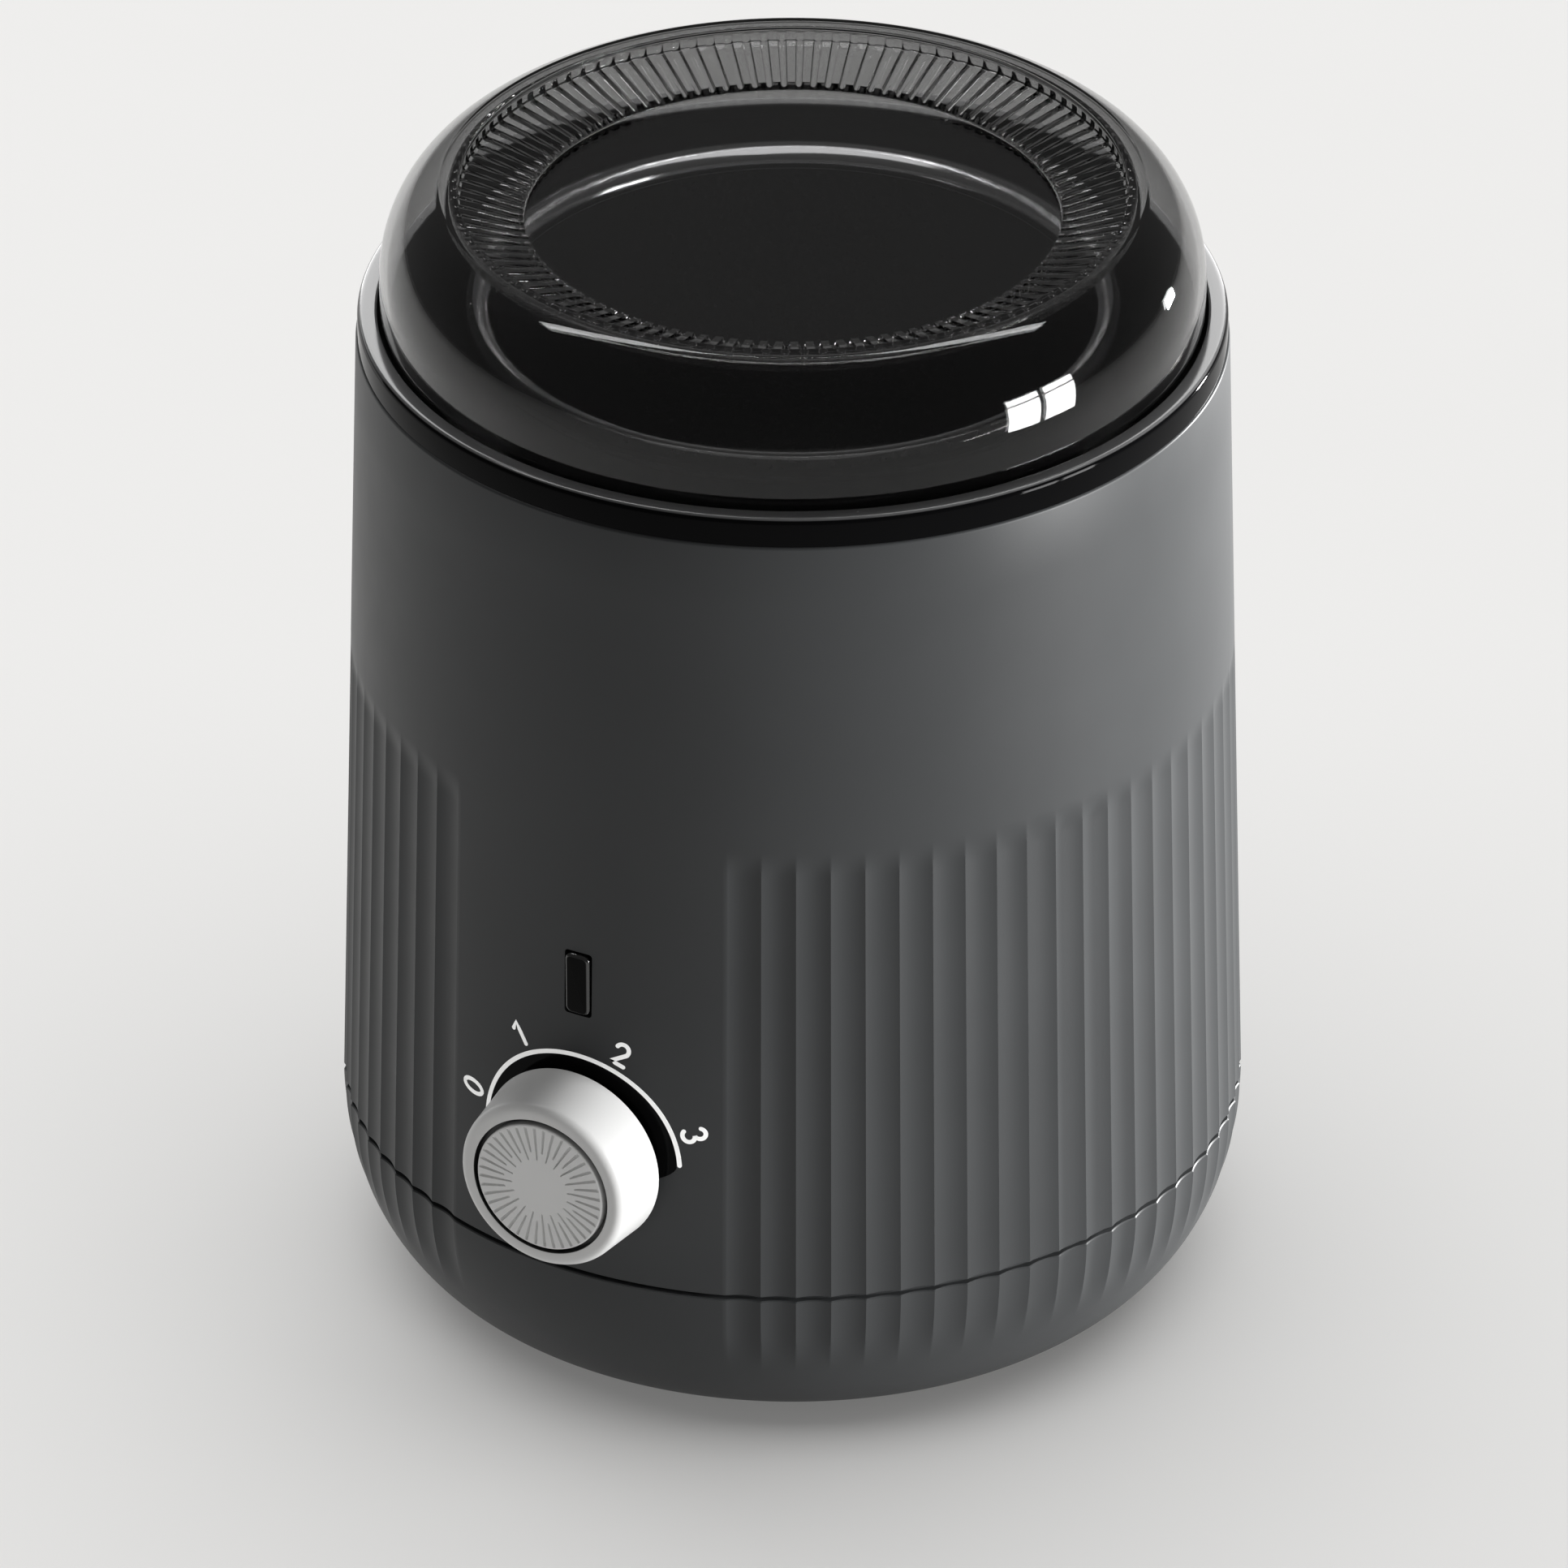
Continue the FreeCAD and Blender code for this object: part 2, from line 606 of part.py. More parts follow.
def make_feet():
    feet = []
    top = FOOT_HEIGHT + FOOT_SINK
    for angle in spaced(FOOT_COUNT):
        foot = turned([(0, 0), (FOOT_R, 0, FOOT_ROUND), (FOOT_R, top), (0, top)])
        foot.translate(polar(FOOT_CIRCLE, angle))
        feet.append(foot)
    return Part.makeCompound(feet)


def make_base_screws():
    seat = V(0, 0, FOOT_HEIGHT + HEAD_SINK)
    return Part.makeCompound([screw(BASE_SCREW, place + seat) for place in column_places()])


# Deck and lid

def make_deck_ring():
    spigot_foot = RIM_Z - DECK_SPIGOT
    spigot_in = DECK_SPIGOT_R - SPIGOT_WALL
    skirt_out = HOLE_R + DECK_SKIRT
    skirt_foot = CUP_FLANGE_Z + GASKET_T
    ring = turned([(DECK_SPIGOT_R, RIM_Z), (DECK_R, RIM_Z), (DECK_R, DECK_TOP, DECK_EDGE_ROUND),
                   (SEAT_R, DECK_TOP, DECK_LAND_ROUND), (SEAT_R, DECK_Z), (HOLE_R + DECK_LIP, DECK_Z),
                   (HOLE_R + DECK_LIP, LIP_TOP, LIP_ROUND), (HOLE_R, LIP_TOP), (HOLE_R, skirt_foot),
                   (skirt_out, skirt_foot), (skirt_out, DECK_UNDER), (spigot_in, DECK_UNDER),
                   (spigot_in, spigot_foot), (DECK_SPIGOT_R, spigot_foot)])
    added = []
    holes = []
    pilot = SCREW_R + CLOSE_FIT
    for angle in spaced(TOP_SCREWS, FRONT):
        place = polar(POST_CIRCLE, angle)
        added.append(upright(POST_R, place.x, place.y, LUG_TOP, DECK_Z - DECK_T / 2))
        tip = LUG_TOP - LUG_T + DECK_SCREW + PILOT_EXTRA
        holes.append(upright(pilot, place.x, place.y, LUG_TOP - OVER, tip))
    for angle in spaced(TOP_SCREWS, -FRONT):
        place = polar(CUP_SCREW_CIRCLE, angle)
        added.append(upright(SCREW_HEAD_R, place.x, place.y, CUP_FLANGE_Z, DECK_Z - DECK_T / 2))
        tip = CUP_FLANGE_Z - CUP_WALL + CUP_SCREW + PILOT_EXTRA
        holes.append(upright(pilot, place.x, place.y, CUP_FLANGE_Z - OVER, tip))
    return ring.fuse(added).cut(holes)


def make_deck_screws():
    seat = V(0, 0, LUG_TOP - LUG_T)
    places = [polar(POST_CIRCLE, a) for a in spaced(TOP_SCREWS, FRONT)]
    return Part.makeCompound([screw(DECK_SCREW, place + seat) for place in places])


def make_cup_screws():
    seat = V(0, 0, CUP_FLANGE_Z - CUP_WALL)
    places = [polar(CUP_SCREW_CIRCLE, a) for a in spaced(TOP_SCREWS, -FRONT)]
    return Part.makeCompound([screw(CUP_SCREW, place + seat) for place in places])


def quarter(centre_r, centre_z, wide, tall):
    """Quarter ellipse from the wall up to the top, as points and a curve."""
    spots = []
    for i in range(CURVE_STEPS + 1):
        turn = math.pi / 2 * i / CURVE_STEPS
        spots.append(V(centre_r + wide * math.cos(turn), 0, centre_z + tall * math.sin(turn)))
    curve = Part.BSplineCurve()
    curve.interpolate(spots)
    return spots, curve.toShape()


def star_wire(outer, tooth, z):
    """Zigzag ring of the ribs at one height."""
    points = []
    for i in range(2 * RIB_COUNT):
        points.append(polar(outer - tooth * (i % 2), i * 180.0 / RIB_COUNT, z))
    return Part.makePolygon(points + points[:1])


def make_lid():
    shoulder_z = LID_TOP - LID_SHOULDER_H
    crown_r = LID_R - LID_SHOULDER_W
    well_r = crown_r - LID_LIP
    ring_z = LID_TOP - LID_LIP_DROP
    floor_z = ring_z - RIB_RING_DROP - FLOOR_STEP
    under_z = floor_z - LID_WALL
    tooth_r = well_r - RIB_RING + RIB_TOOTH
    outer_spots, outer = quarter(crown_r, shoulder_z, LID_SHOULDER_W, LID_SHOULDER_H)
    inside_w = LID_SHOULDER_W - LID_WALL
    inside_h = LID_SHOULDER_H - LID_WALL
    inner_spots, inner = quarter(crown_r, shoulder_z, inside_w, inside_h)
    straight = [V(LID_R - LID_WALL, 0, shoulder_z), V(LID_R - LID_WALL, 0, LID_FOOT),
                V(LID_R, 0, LID_FOOT), V(LID_R, 0, shoulder_z)]
    over = [outer_spots[-1], V(well_r, 0, LID_TOP), V(well_r, 0, ring_z), V(0, 0, ring_z),
            V(0, 0, under_z), V(tooth_r - RIB_TOOTH, 0, under_z),
            V(well_r - LID_LIP, 0, ring_z - LID_WALL), inner_spots[-1]]
    edges = []
    for run in (straight, over):
        edges += [Part.LineSegment(a, b).toShape() for a, b in zip(run, run[1:])]
    edges = edges[:3] + [outer] + edges[3:] + [inner]
    blank = Part.Face(Part.Wire(Part.__sortEdges__(edges))).revolve(V(0, 0, 0), V(0, 0, 1), 360)
    top_r = well_r - FIT
    levels = [(tooth_r, RIB_TOOTH, floor_z), (tooth_r, RIB_TOOTH, floor_z + FLOOR_STEP),
              (top_r, RIB_TOOTH_TOP, ring_z), (top_r, RIB_TOOTH_TOP, LID_TOP)]
    ribs = Part.makeLoft([star_wire(*level) for level in levels], True, True)
    return blank.cut(ribs)


# Pot, cup and heater

def make_inner_pot():
    rb = pot_r(POT_BOTTOM)
    floor = POT_BOTTOM + POT_WALL
    return turned([(0, POT_BOTTOM), (rb, POT_BOTTOM, POT_ROUND), (POT_R, RIM_UNDER),
                   (POT_RIM_R, RIM_UNDER, POT_RIM_FOOT), (POT_RIM_R, POT_TOP, POT_RIM_ROUND),
                   (POT_R - POT_WALL, POT_TOP, POT_MOUTH_ROUND),
                   (rb - POT_WALL, floor, POT_ROUND - POT_WALL), (0, floor)])


def make_heating_cup():
    top = CUP_FLANGE_Z
    under = top - CUP_WALL
    well = POT_CLEAR
    cup = turned([(0, CUP_BOTTOM), (cup_r(CUP_BOTTOM), CUP_BOTTOM, POT_ROUND), (cup_r(under), under),
                  (FLANGE_R, under), (FLANGE_R, top), (pot_r(top) + well, top),
                  (pot_r(CUP_FLOOR) + well, CUP_FLOOR, POT_ROUND - CUP_WALL), (0, CUP_FLOOR)])
    holes = []
    for angle in spaced(TOP_SCREWS, -FRONT):
        place = polar(CUP_SCREW_CIRCLE, angle)
        holes.append(upright(SCREW_R + FIT, place.x, place.y, under - OVER, top + OVER))
    return cup.cut(holes)


def make_cup_gasket():
    return turned([(HOLE_R, CUP_FLANGE_Z), (HOLE_R + DECK_SKIRT, CUP_FLANGE_Z),
                   (HOLE_R + DECK_SKIRT, CUP_FLANGE_Z + GASKET_T), (HOLE_R, CUP_FLANGE_Z + GASKET_T)])


def wrap(low, high, inside, thickness, slit):
    """Band wrapped round the cup and open at the rear."""
    band = turned([(cup_r(low) + inside, low), (cup_r(low) + inside + thickness, low),
                   (cup_r(high) + inside + thickness, high), (cup_r(high) + inside, high)])
    return band.cut(block((-slit / 2, 0, low - OVER), (slit / 2, SEAM_R, high + OVER)))


def make_heater_band():
    top = BAND_BOTTOM + BAND_H
    band = wrap(BAND_BOTTOM, top, CLOSE_FIT, BAND_T, BAND_SLIT)
    tabs = []
    for side in (-1, 1):
        tabs.append(block((side * TAB_X - TAB_W / 2, TAB_Y - TAB_T / 2, TAB_FOOT),
                          (side * TAB_X + TAB_W / 2, TAB_Y + TAB_T / 2, BAND_BOTTOM + ROOT)))
    return band.fuse(tabs)


def strap_r():
    return cup_r(CLAMP_MIDDLE) + BAND_T + CLAMP_T + 2 * CLOSE_FIT


def make_band_clamp():
    low = CLAMP_MIDDLE - CLAMP_H / 2
    high = CLAMP_MIDDLE + CLAMP_H / 2
    strap = wrap(low, high, BAND_T + 2 * CLOSE_FIT, CLAMP_T, CLAMP_SLIT)
    ears = []
    inside = strap_r() - CLAMP_T / 2
    for side in (-1, 1):
        near = side * CLAMP_SLIT / 2
        far = near + side * EAR_T
        ears.append(block((min(near, far), inside, low), (max(near, far), inside + EAR_LENGTH, high)))
    y = strap_r() + EAR_HOLE
    reach = CLAMP_SLIT
    hole = rod(CLAMP_SCREW_R + CLOSE_FIT, V(-reach, y, CLAMP_MIDDLE), V(reach, y, CLAMP_MIDDLE))
    return strap.fuse(ears).cut(hole)


def make_clamp_screw():
    """Screw that draws the two ears of the clamp together."""
    solid = screw(CLAMP_SCREW, V(0, 0, 0), True, CLAMP_SCREW_R)
    solid.rotate(V(0, 0, 0), V(0, 1, 0), 90)
    solid.translate(V(-CLAMP_SLIT / 2 - EAR_T, strap_r() + EAR_HOLE, CLAMP_MIDDLE))
    return solid


def hex_nut(flats, thick, bore):
    corners = [polar(flats / math.sqrt(3), a) for a in spaced(6, 30)]
    face = Part.Face(Part.makePolygon(corners + corners[:1]))
    return face.extrude(V(0, 0, thick)).cut(Part.makeCylinder(bore, thick))


def make_clamp_nut():
    nut = hex_nut(2 * CLAMP_NUT_R, CLAMP_NUT_H, CLAMP_SCREW_R + CLOSE_FIT)
    nut.rotate(V(0, 0, 0), V(0, 1, 0), 90)
    nut.translate(V(CLAMP_SLIT / 2 + EAR_T, strap_r() + EAR_HOLE, CLAMP_MIDDLE))
    return nut


def make_insulation_sleeve():
    low = TAB_FOOT
    high = CUP_FLANGE_Z - SLEEVE_HEAD
    outside = SLEEVE_R + SLEEVE_T
    sleeve = turned([(SLEEVE_R, low), (outside, low), (outside, high), (SLEEVE_R, high)])
    return sleeve.cut(block((-SLEEVE_SLIT / 2, 0, low - OVER), (SLEEVE_SLIT / 2, SEAM_R, high + OVER)))


# Baffle, bulb and fuse under the cup

def baffle_holes():
    return [(-LEAD_SIDE, FUSE_Y), (LEAD_SIDE, FUSE_Y), (CAPILLARY_SIDE, BULB_Y),
            (-TAB_X, TAB_Y), (TAB_X, TAB_Y)]


def make_heat_baffle():
    plate = Part.makeCylinder(BAFFLE_R, BAFFLE_T, V(0, 0, BAFFLE_Z))
    low = BAFFLE_Z - OVER
    high = BAFFLE_TOP + OVER
    holes = [upright(BAFFLE_HOLE_R, x, y, low, high) for x, y in baffle_holes()]
    holes += [upright(SCREW_R + FIT, p.x, p.y, low, high) for p in column_places()]
    notch_back = LAMP_NOTCH_D - BAFFLE_R
    holes.append(block((-LAMP_NOTCH_W / 2, -SEAM_R, low), (LAMP_NOTCH_W / 2, notch_back, high)))
    return plate.cut(holes)


def make_baffle_screws():
    seat = V(0, 0, BAFFLE_TOP)
    return Part.makeCompound([screw(BAFFLE_SCREW, place + seat, False) for place in column_places()])


def saddle(radius, y, z):
    """Saddle clip that holds a round piece against the cup's underside."""
    half = CLIP_W / 2
    inside = radius + CLOSE_FIT
    outside = inside + CLIP_T
    tunnel = rod(inside, V(-half - OVER, y, z), V(half + OVER, y, z))
    arch = rod(outside, V(-half, y, z), V(half, y, z))
    legs = block((-half, y - outside, z), (half, y + outside, CUP_BOTTOM))
    feet = block((-half, y - outside - CLIP_FOOT, CUP_BOTTOM - CLIP_T),
                 (half, y + outside + CLIP_FOOT, CUP_BOTTOM))
    passage = block((-half - OVER, y - inside, z), (half + OVER, y + inside, CUP_BOTTOM + OVER))
    return arch.fuse([legs, feet]).cut([tunnel, passage])


def make_sensing_bulb():
    half = BULB_L / 2
    return rod(BULB_R, V(-half, BULB_Y, BULB_Z), V(half, BULB_Y, BULB_Z))


def make_thermal_fuse():
    half = FUSE_L / 2
    barrel = rod(FUSE_R, V(-half, FUSE_Y, FUSE_Z), V(half, FUSE_Y, FUSE_Z))
    wire = rod(FUSE_WIRE_R, V(-FUSE_END, FUSE_Y, FUSE_Z), V(FUSE_END, FUSE_Y, FUSE_Z))
    return barrel.fuse(wire)


# Dial and thermostat

def make_knob():
    bore_end = SHAFT_END + CLOSE_FIT
    solid = turned([(KNOB_R - KNOB_WALL, KNOB_BACK), (KNOB_R, KNOB_BACK, KNOB_BACK_ROUND),
                    (KNOB_FRONT_R, KNOB_FACE, KNOB_ROUND), (CAP_R + FIT, KNOB_FACE),
                    (CAP_R + FIT, CAP_BACK), (0, CAP_BACK), (0, HUB_BACK),
                    (HUB_R, HUB_BACK), (HUB_R, KNOB_WEB), (KNOB_FRONT_R - KNOB_WALL, KNOB_WEB)])
    bore = flatted(SHAFT_R + CLOSE_FIT, SHAFT_FLAT + CLOSE_FIT, HUB_BACK - OVER, bore_end)
    return to_front(solid.cut(bore), KNOB_Z)


def flatted(radius, flat, low, high):
    """Round bar with one flat side, towards +Y before it is turned to the front."""
    bar = Part.makeCylinder(radius, high - low, V(0, 0, low))
    return bar.cut(block((-radius, flat, low), (radius, radius + OVER, high)))


def make_knob_cap():
    face = KNOB_FACE + CAP_PROUD
    cap = turned([(0, CAP_BACK), (CAP_R, CAP_BACK), (CAP_R, face, CAP_ROUND), (0, face)])
    lines = []
    for angle in spaced(CAP_LINES):
        line = block((CAP_LINE_IN, -CAP_LINE_W / 2, face - CAP_LINE_DEPTH),
                     (CAP_R - CAP_LINE_EDGE, CAP_LINE_W / 2, face + OVER))
        line.rotate(V(0, 0, 0), V(0, 0, 1), angle)
        lines.append(line)
    return to_front(cap.cut(lines), KNOB_Z)


def make_thermostat_shaft():
    collar_face = STAT_FRONT - SHAFT_PLAY
    collar_back = collar_face - SHAFT_COLLAR_T
    collar = Part.makeCylinder(SHAFT_COLLAR_R, SHAFT_COLLAR_T, V(0, 0, collar_back))
    bar = Part.makeCylinder(SHAFT_R, HUB_BACK - collar_back, V(0, 0, collar_back))
    end = flatted(SHAFT_R, SHAFT_FLAT, HUB_BACK, SHAFT_END)
    return to_front(bar.fuse([collar, end]), KNOB_Z)


def make_thermostat_bush():
    barrel = Part.makeCylinder(BUSH_R, BUSH_END - PAD_FACE, V(0, 0, PAD_FACE))
    plate = rounded_block(STAT_W, STAT_H, STAT_FRONT, PAD_FACE, STAT_ROUND)
    bore = rod(SHAFT_R + CLOSE_FIT, V(0, 0, STAT_FRONT - OVER), V(0, 0, BUSH_END + OVER))
    return to_front(barrel.fuse(plate).cut(bore), KNOB_Z)


def make_thermostat_nut():
    nut = hex_nut(NUT_FLATS, NUT_T, BUSH_R + CLOSE_FIT)
    nut.translate(V(0, 0, SPOT_FACE))
    return to_front(nut, KNOB_Z)


def make_thermostat_housing():
    housing = rounded_block(STAT_W, STAT_H, STAT_BACK, STAT_FRONT, STAT_ROUND)
    depth = SHAFT_COLLAR_T + 2 * SHAFT_PLAY
    pocket = Part.makeCylinder(SHAFT_COLLAR_R + SHAFT_PLAY, depth, V(0, 0, STAT_FRONT - depth))
    return to_front(housing.cut(pocket), KNOB_Z)


def make_thermostat_terminals():
    tabs = []
    for side in (-1, 1):
        x = side * TERMINAL_X
        tabs.append(block((x - TERMINAL_W / 2, -STAT_BACK, TERMINAL_Z - TERMINAL_T / 2),
                          (x + TERMINAL_W / 2, -STAT_BACK + TERMINAL_L, TERMINAL_Z + TERMINAL_T / 2)))
    return Part.makeCompound(tabs)


# Indicator lamp

def lens_seat():
    """Flat inside the casing for the lens, from the casing's axis."""
    top = LENS_Z + LENS_H / 2 + LENS_FLANGE
    half = LENS_W / 2 + LENS_FLANGE
    return math.sqrt(inner_r(top) ** 2 - half ** 2) - LENS_PAD


def lens_pad():
    root = inner_r(LENS_Z) + ROOT
    margin = 2 * (LENS_FLANGE + HOLDER_MARGIN)
    return rounded_block(LENS_W + margin, LENS_H + margin, lens_seat(), root, LENS_ROUND)


def make_indicator_lens():
    seat = lens_seat()
    face = body_r(LENS_Z + LENS_H / 2) - LENS_SINK
    back = seat - LENS_FLANGE
    flange = rounded_block(LENS_W + 2 * LENS_FLANGE, LENS_H + 2 * LENS_FLANGE, back, seat, LENS_ROUND)
    stem = rounded_block(LENS_W, LENS_H, back, face - LENS_BEVEL, LENS_BEVEL)
    half_w = LENS_W / 2
    half_h = LENS_H / 2
    outlines = []
    for inset, z in ((LENS_BEVEL / 2, face - LENS_BEVEL), (LENS_BEVEL, face)):
        w = half_w - inset
        h = half_h - inset
        points = [V(-w, -h, z), V(w, -h, z), V(w, h, z), V(-w, h, z), V(-w, -h, z)]
        outlines.append(Part.makePolygon(points))
    crown = Part.makeLoft(outlines, True, True)
    return to_front(flange.fuse([stem, crown]), LENS_Z)


def lamp_centre():
    return lens_seat() - LENS_FLANGE - HOLDER_D / 2


def make_lamp_holder():
    front = lens_seat() - LENS_FLANGE
    margin = 2 * (LENS_FLANGE + HOLDER_MARGIN)
    solid = rounded_block(LENS_W + margin, LENS_H + margin, front - HOLDER_D, front, LENS_ROUND)
    window_w = LENS_W - 2 * LENS_BEVEL
    window_h = LENS_H - 2 * LENS_BEVEL
    window = rounded_block(window_w, window_h, front - HOLDER_D / 2, front + OVER, WINDOW_ROUND)
    solid = to_front(solid.cut(window), LENS_Z)
    half = LENS_H / 2 + margin
    return solid.cut(upright(LAMP_R + FIT, 0, -lamp_centre(), LENS_Z - half, LENS_Z + half))


def make_neon_lamp():
    low = LENS_Z - LAMP_L / 2
    high = low + LAMP_L
    lamp = turned([(0, low), (LAMP_R, low, LAMP_FOOT_ROUND), (LAMP_R, high, LAMP_DOME), (0, high)])
    lamp.translate(V(0, -lamp_centre(), 0))
    return lamp


def make_lamp_leads():
    low = LENS_Z - LAMP_L / 2
    return Part.makeCompound([upright(LAMP_LEAD_R, side * LAMP_LEAD_X, -lamp_centre(), STAT_TOP, low)
                              for side in (-1, 1)])


# Mains inlet

def make_inlet_socket():
    block_body = rounded_block(INLET_W, INLET_H, INLET_BACK, INLET_FACE, INLET_ROUND)
    flange_w = INLET_W + 2 * INLET_FLANGE
    flange_h = INLET_H + 2 * INLET_FLANGE
    flange = rounded_block(flange_w, flange_h, INLET_SEAT, INLET_FACE, INLET_ROUND)
    mouth = rounded_block(SOCKET_W, SOCKET_H, INLET_FACE - SOCKET_D, INLET_FACE + OVER, SOCKET_ROUND)
    holes = [mouth]
    for side in (-1, 1):
        start = V(side * PIN_PITCH / 2, 0, INLET_BACK - OVER)
        holes.append(Part.makeCylinder(PIN_R + CLOSE_FIT, INLET_D, start))
    return to_rear(block_body.fuse(flange).cut(holes), INLET_Z)


def make_inlet_pins():
    length = INLET_FACE - PIN_RECESS - PIN_END
    pins = []
    for side in (-1, 1):
        pin = turned([(0, 0), (PIN_R, 0), (PIN_R, length, PIN_ROUND), (0, length)])
        pin.translate(V(side * PIN_PITCH / 2, 0, PIN_END))
        pins.append(to_rear(pin, INLET_Z))
    return Part.makeCompound(pins)


# Leads inside the base, each from terminal to terminal

def make_lead_live():
    x = -PIN_PITCH / 2
    return bent_tube([(x, PIN_END, INLET_Z), (x, PIN_END - LIVE_STUB, INLET_Z),
                      (-LEAD_SIDE, FUSE_Y, INLET_Z + LIVE_RISE), (-LEAD_SIDE, FUSE_Y, FUSE_Z),
                      (-FUSE_END, FUSE_Y, FUSE_Z)], LEAD_R)


def make_lead_fuse():
    tip = TERMINAL_L - STAT_BACK
    return bent_tube([(FUSE_END, FUSE_Y, FUSE_Z), (LEAD_SIDE, FUSE_Y, FUSE_Z),
                      (LEAD_SIDE, FUSE_Y, TERMINAL_Z - FUSE_LEAD_DROP),
                      (TERMINAL_X, tip + TERMINAL_STUB, TERMINAL_Z), (TERMINAL_X, tip, TERMINAL_Z)], LEAD_R)


def make_lead_heater():
    tip = TERMINAL_L - STAT_BACK
    return bent_tube([(-TERMINAL_X, tip, TERMINAL_Z), (-TERMINAL_X, tip + TERMINAL_STUB, TERMINAL_Z),
                      (-TAB_X, TAB_Y, BAFFLE_Z - HEATER_LEAD_DROP), (-TAB_X, TAB_Y, TAB_FOOT)], LEAD_R)


def make_lead_neutral():
    x = PIN_PITCH / 2
    y = PIN_END - NEUTRAL_STUB
    return bent_tube([(TAB_X, TAB_Y, TAB_FOOT), (TAB_X, TAB_Y, BAFFLE_Z - NEUTRAL_DROP),
                      (x, y, INLET_Z + NEUTRAL_RISE), (x, y, INLET_Z), (x, PIN_END, INLET_Z)], LEAD_R)


def make_capillary_tube():
    z = KNOB_Z - CAPILLARY_DROP
    return bent_tube([(BULB_L / 2, BULB_Y, BULB_Z), (CAPILLARY_SIDE, BULB_Y, BULB_Z),
                      (CAPILLARY_SIDE, BULB_Y, KNOB_Z + CAPILLARY_RISE),
                      (0, CAPILLARY_STUB - STAT_BACK, z), (0, -STAT_BACK, z)], CAPILLARY_R)


NODES = {
    "base_shell": make_base_shell,
    "body_shell": make_body_shell,
    "deck_ring": make_deck_ring,
    "feet": make_feet,
    "base_screws": make_base_screws,
    "deck_screws": make_deck_screws,
    "cup_screws": make_cup_screws,
    "heating_cup": make_heating_cup,
    "cup_gasket": make_cup_gasket,
    "heater_band": make_heater_band,
    "band_clamp": make_band_clamp,
    "clamp_screw": make_clamp_screw,
    "clamp_nut": make_clamp_nut,
    "insulation_sleeve": make_insulation_sleeve,
    "heat_baffle": make_heat_baffle,
    "baffle_screws": make_baffle_screws,
    "sensing_bulb": make_sensing_bulb,
    "bulb_clip": lambda: saddle(BULB_R, BULB_Y, BULB_Z),
    "thermal_fuse": make_thermal_fuse,
    "fuse_clip": lambda: saddle(FUSE_R, FUSE_Y, FUSE_Z),
    "thermostat_housing": make_thermostat_housing,
    "thermostat_bush": make_thermostat_bush,
    "thermostat_nut": make_thermostat_nut,
    "thermostat_terminals": make_thermostat_terminals,
    "thermostat_shaft": make_thermostat_shaft,
    "knob": make_knob,
    "knob_cap": make_knob_cap,
    "indicator_lens": make_indicator_lens,
    "lamp_holder": make_lamp_holder,
    "neon_lamp": make_neon_lamp,
    "lamp_leads": make_lamp_leads,
    "inlet_socket": make_inlet_socket,
    "inlet_pins": make_inlet_pins,
    "lead_live": make_lead_live,
    "lead_fuse": make_lead_fuse,
    "lead_heater": make_lead_heater,
    "lead_neutral": make_lead_neutral,
    "capillary_tube": make_capillary_tube,
    "inner_pot": make_inner_pot,
    "lid": make_lid,
}

os.makedirs("parts", exist_ok=True)
for name, make in NODES.items():
    shape = make()
    shape.exportStep("parts/%s.step" % name)
    print(name, len(shape.Solids), "solids, valid", shape.isValid(), "volume %.1f" % shape.Volume)
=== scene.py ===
import json
import math

import bmesh
import bpy
from mathutils import Matrix, Vector

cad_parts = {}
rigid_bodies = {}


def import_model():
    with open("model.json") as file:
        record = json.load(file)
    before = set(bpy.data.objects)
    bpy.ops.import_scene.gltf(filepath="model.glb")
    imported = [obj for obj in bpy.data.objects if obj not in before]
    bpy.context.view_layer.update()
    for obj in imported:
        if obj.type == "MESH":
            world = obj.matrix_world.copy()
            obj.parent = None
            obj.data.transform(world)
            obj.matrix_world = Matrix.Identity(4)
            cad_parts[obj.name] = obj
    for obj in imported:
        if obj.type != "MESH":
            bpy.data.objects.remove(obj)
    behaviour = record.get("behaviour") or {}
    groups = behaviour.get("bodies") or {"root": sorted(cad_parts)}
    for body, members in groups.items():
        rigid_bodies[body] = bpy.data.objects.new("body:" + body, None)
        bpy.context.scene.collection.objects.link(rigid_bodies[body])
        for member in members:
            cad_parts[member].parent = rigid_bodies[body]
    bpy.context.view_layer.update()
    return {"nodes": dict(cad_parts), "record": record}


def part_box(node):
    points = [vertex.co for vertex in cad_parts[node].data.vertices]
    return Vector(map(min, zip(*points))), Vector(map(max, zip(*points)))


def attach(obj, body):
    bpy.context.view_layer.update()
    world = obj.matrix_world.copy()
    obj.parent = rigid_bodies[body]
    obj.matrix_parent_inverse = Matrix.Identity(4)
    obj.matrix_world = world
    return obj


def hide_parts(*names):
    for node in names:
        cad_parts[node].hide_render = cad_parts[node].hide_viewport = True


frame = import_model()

# Wax heater: finer meshes, finishes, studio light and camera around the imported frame.
# Sizes are in millimetres unless a comment says otherwise, and angles in degrees.
MM = 0.001
NODES = frame["nodes"]
SLOT_OF = {row["node"]: row["material_slot"] for row in frame["record"]["subparts"]}


def corners(node):
    """Lowest and highest corner of a node of the frame."""
    low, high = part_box(node)
    return low / MM, high / MM


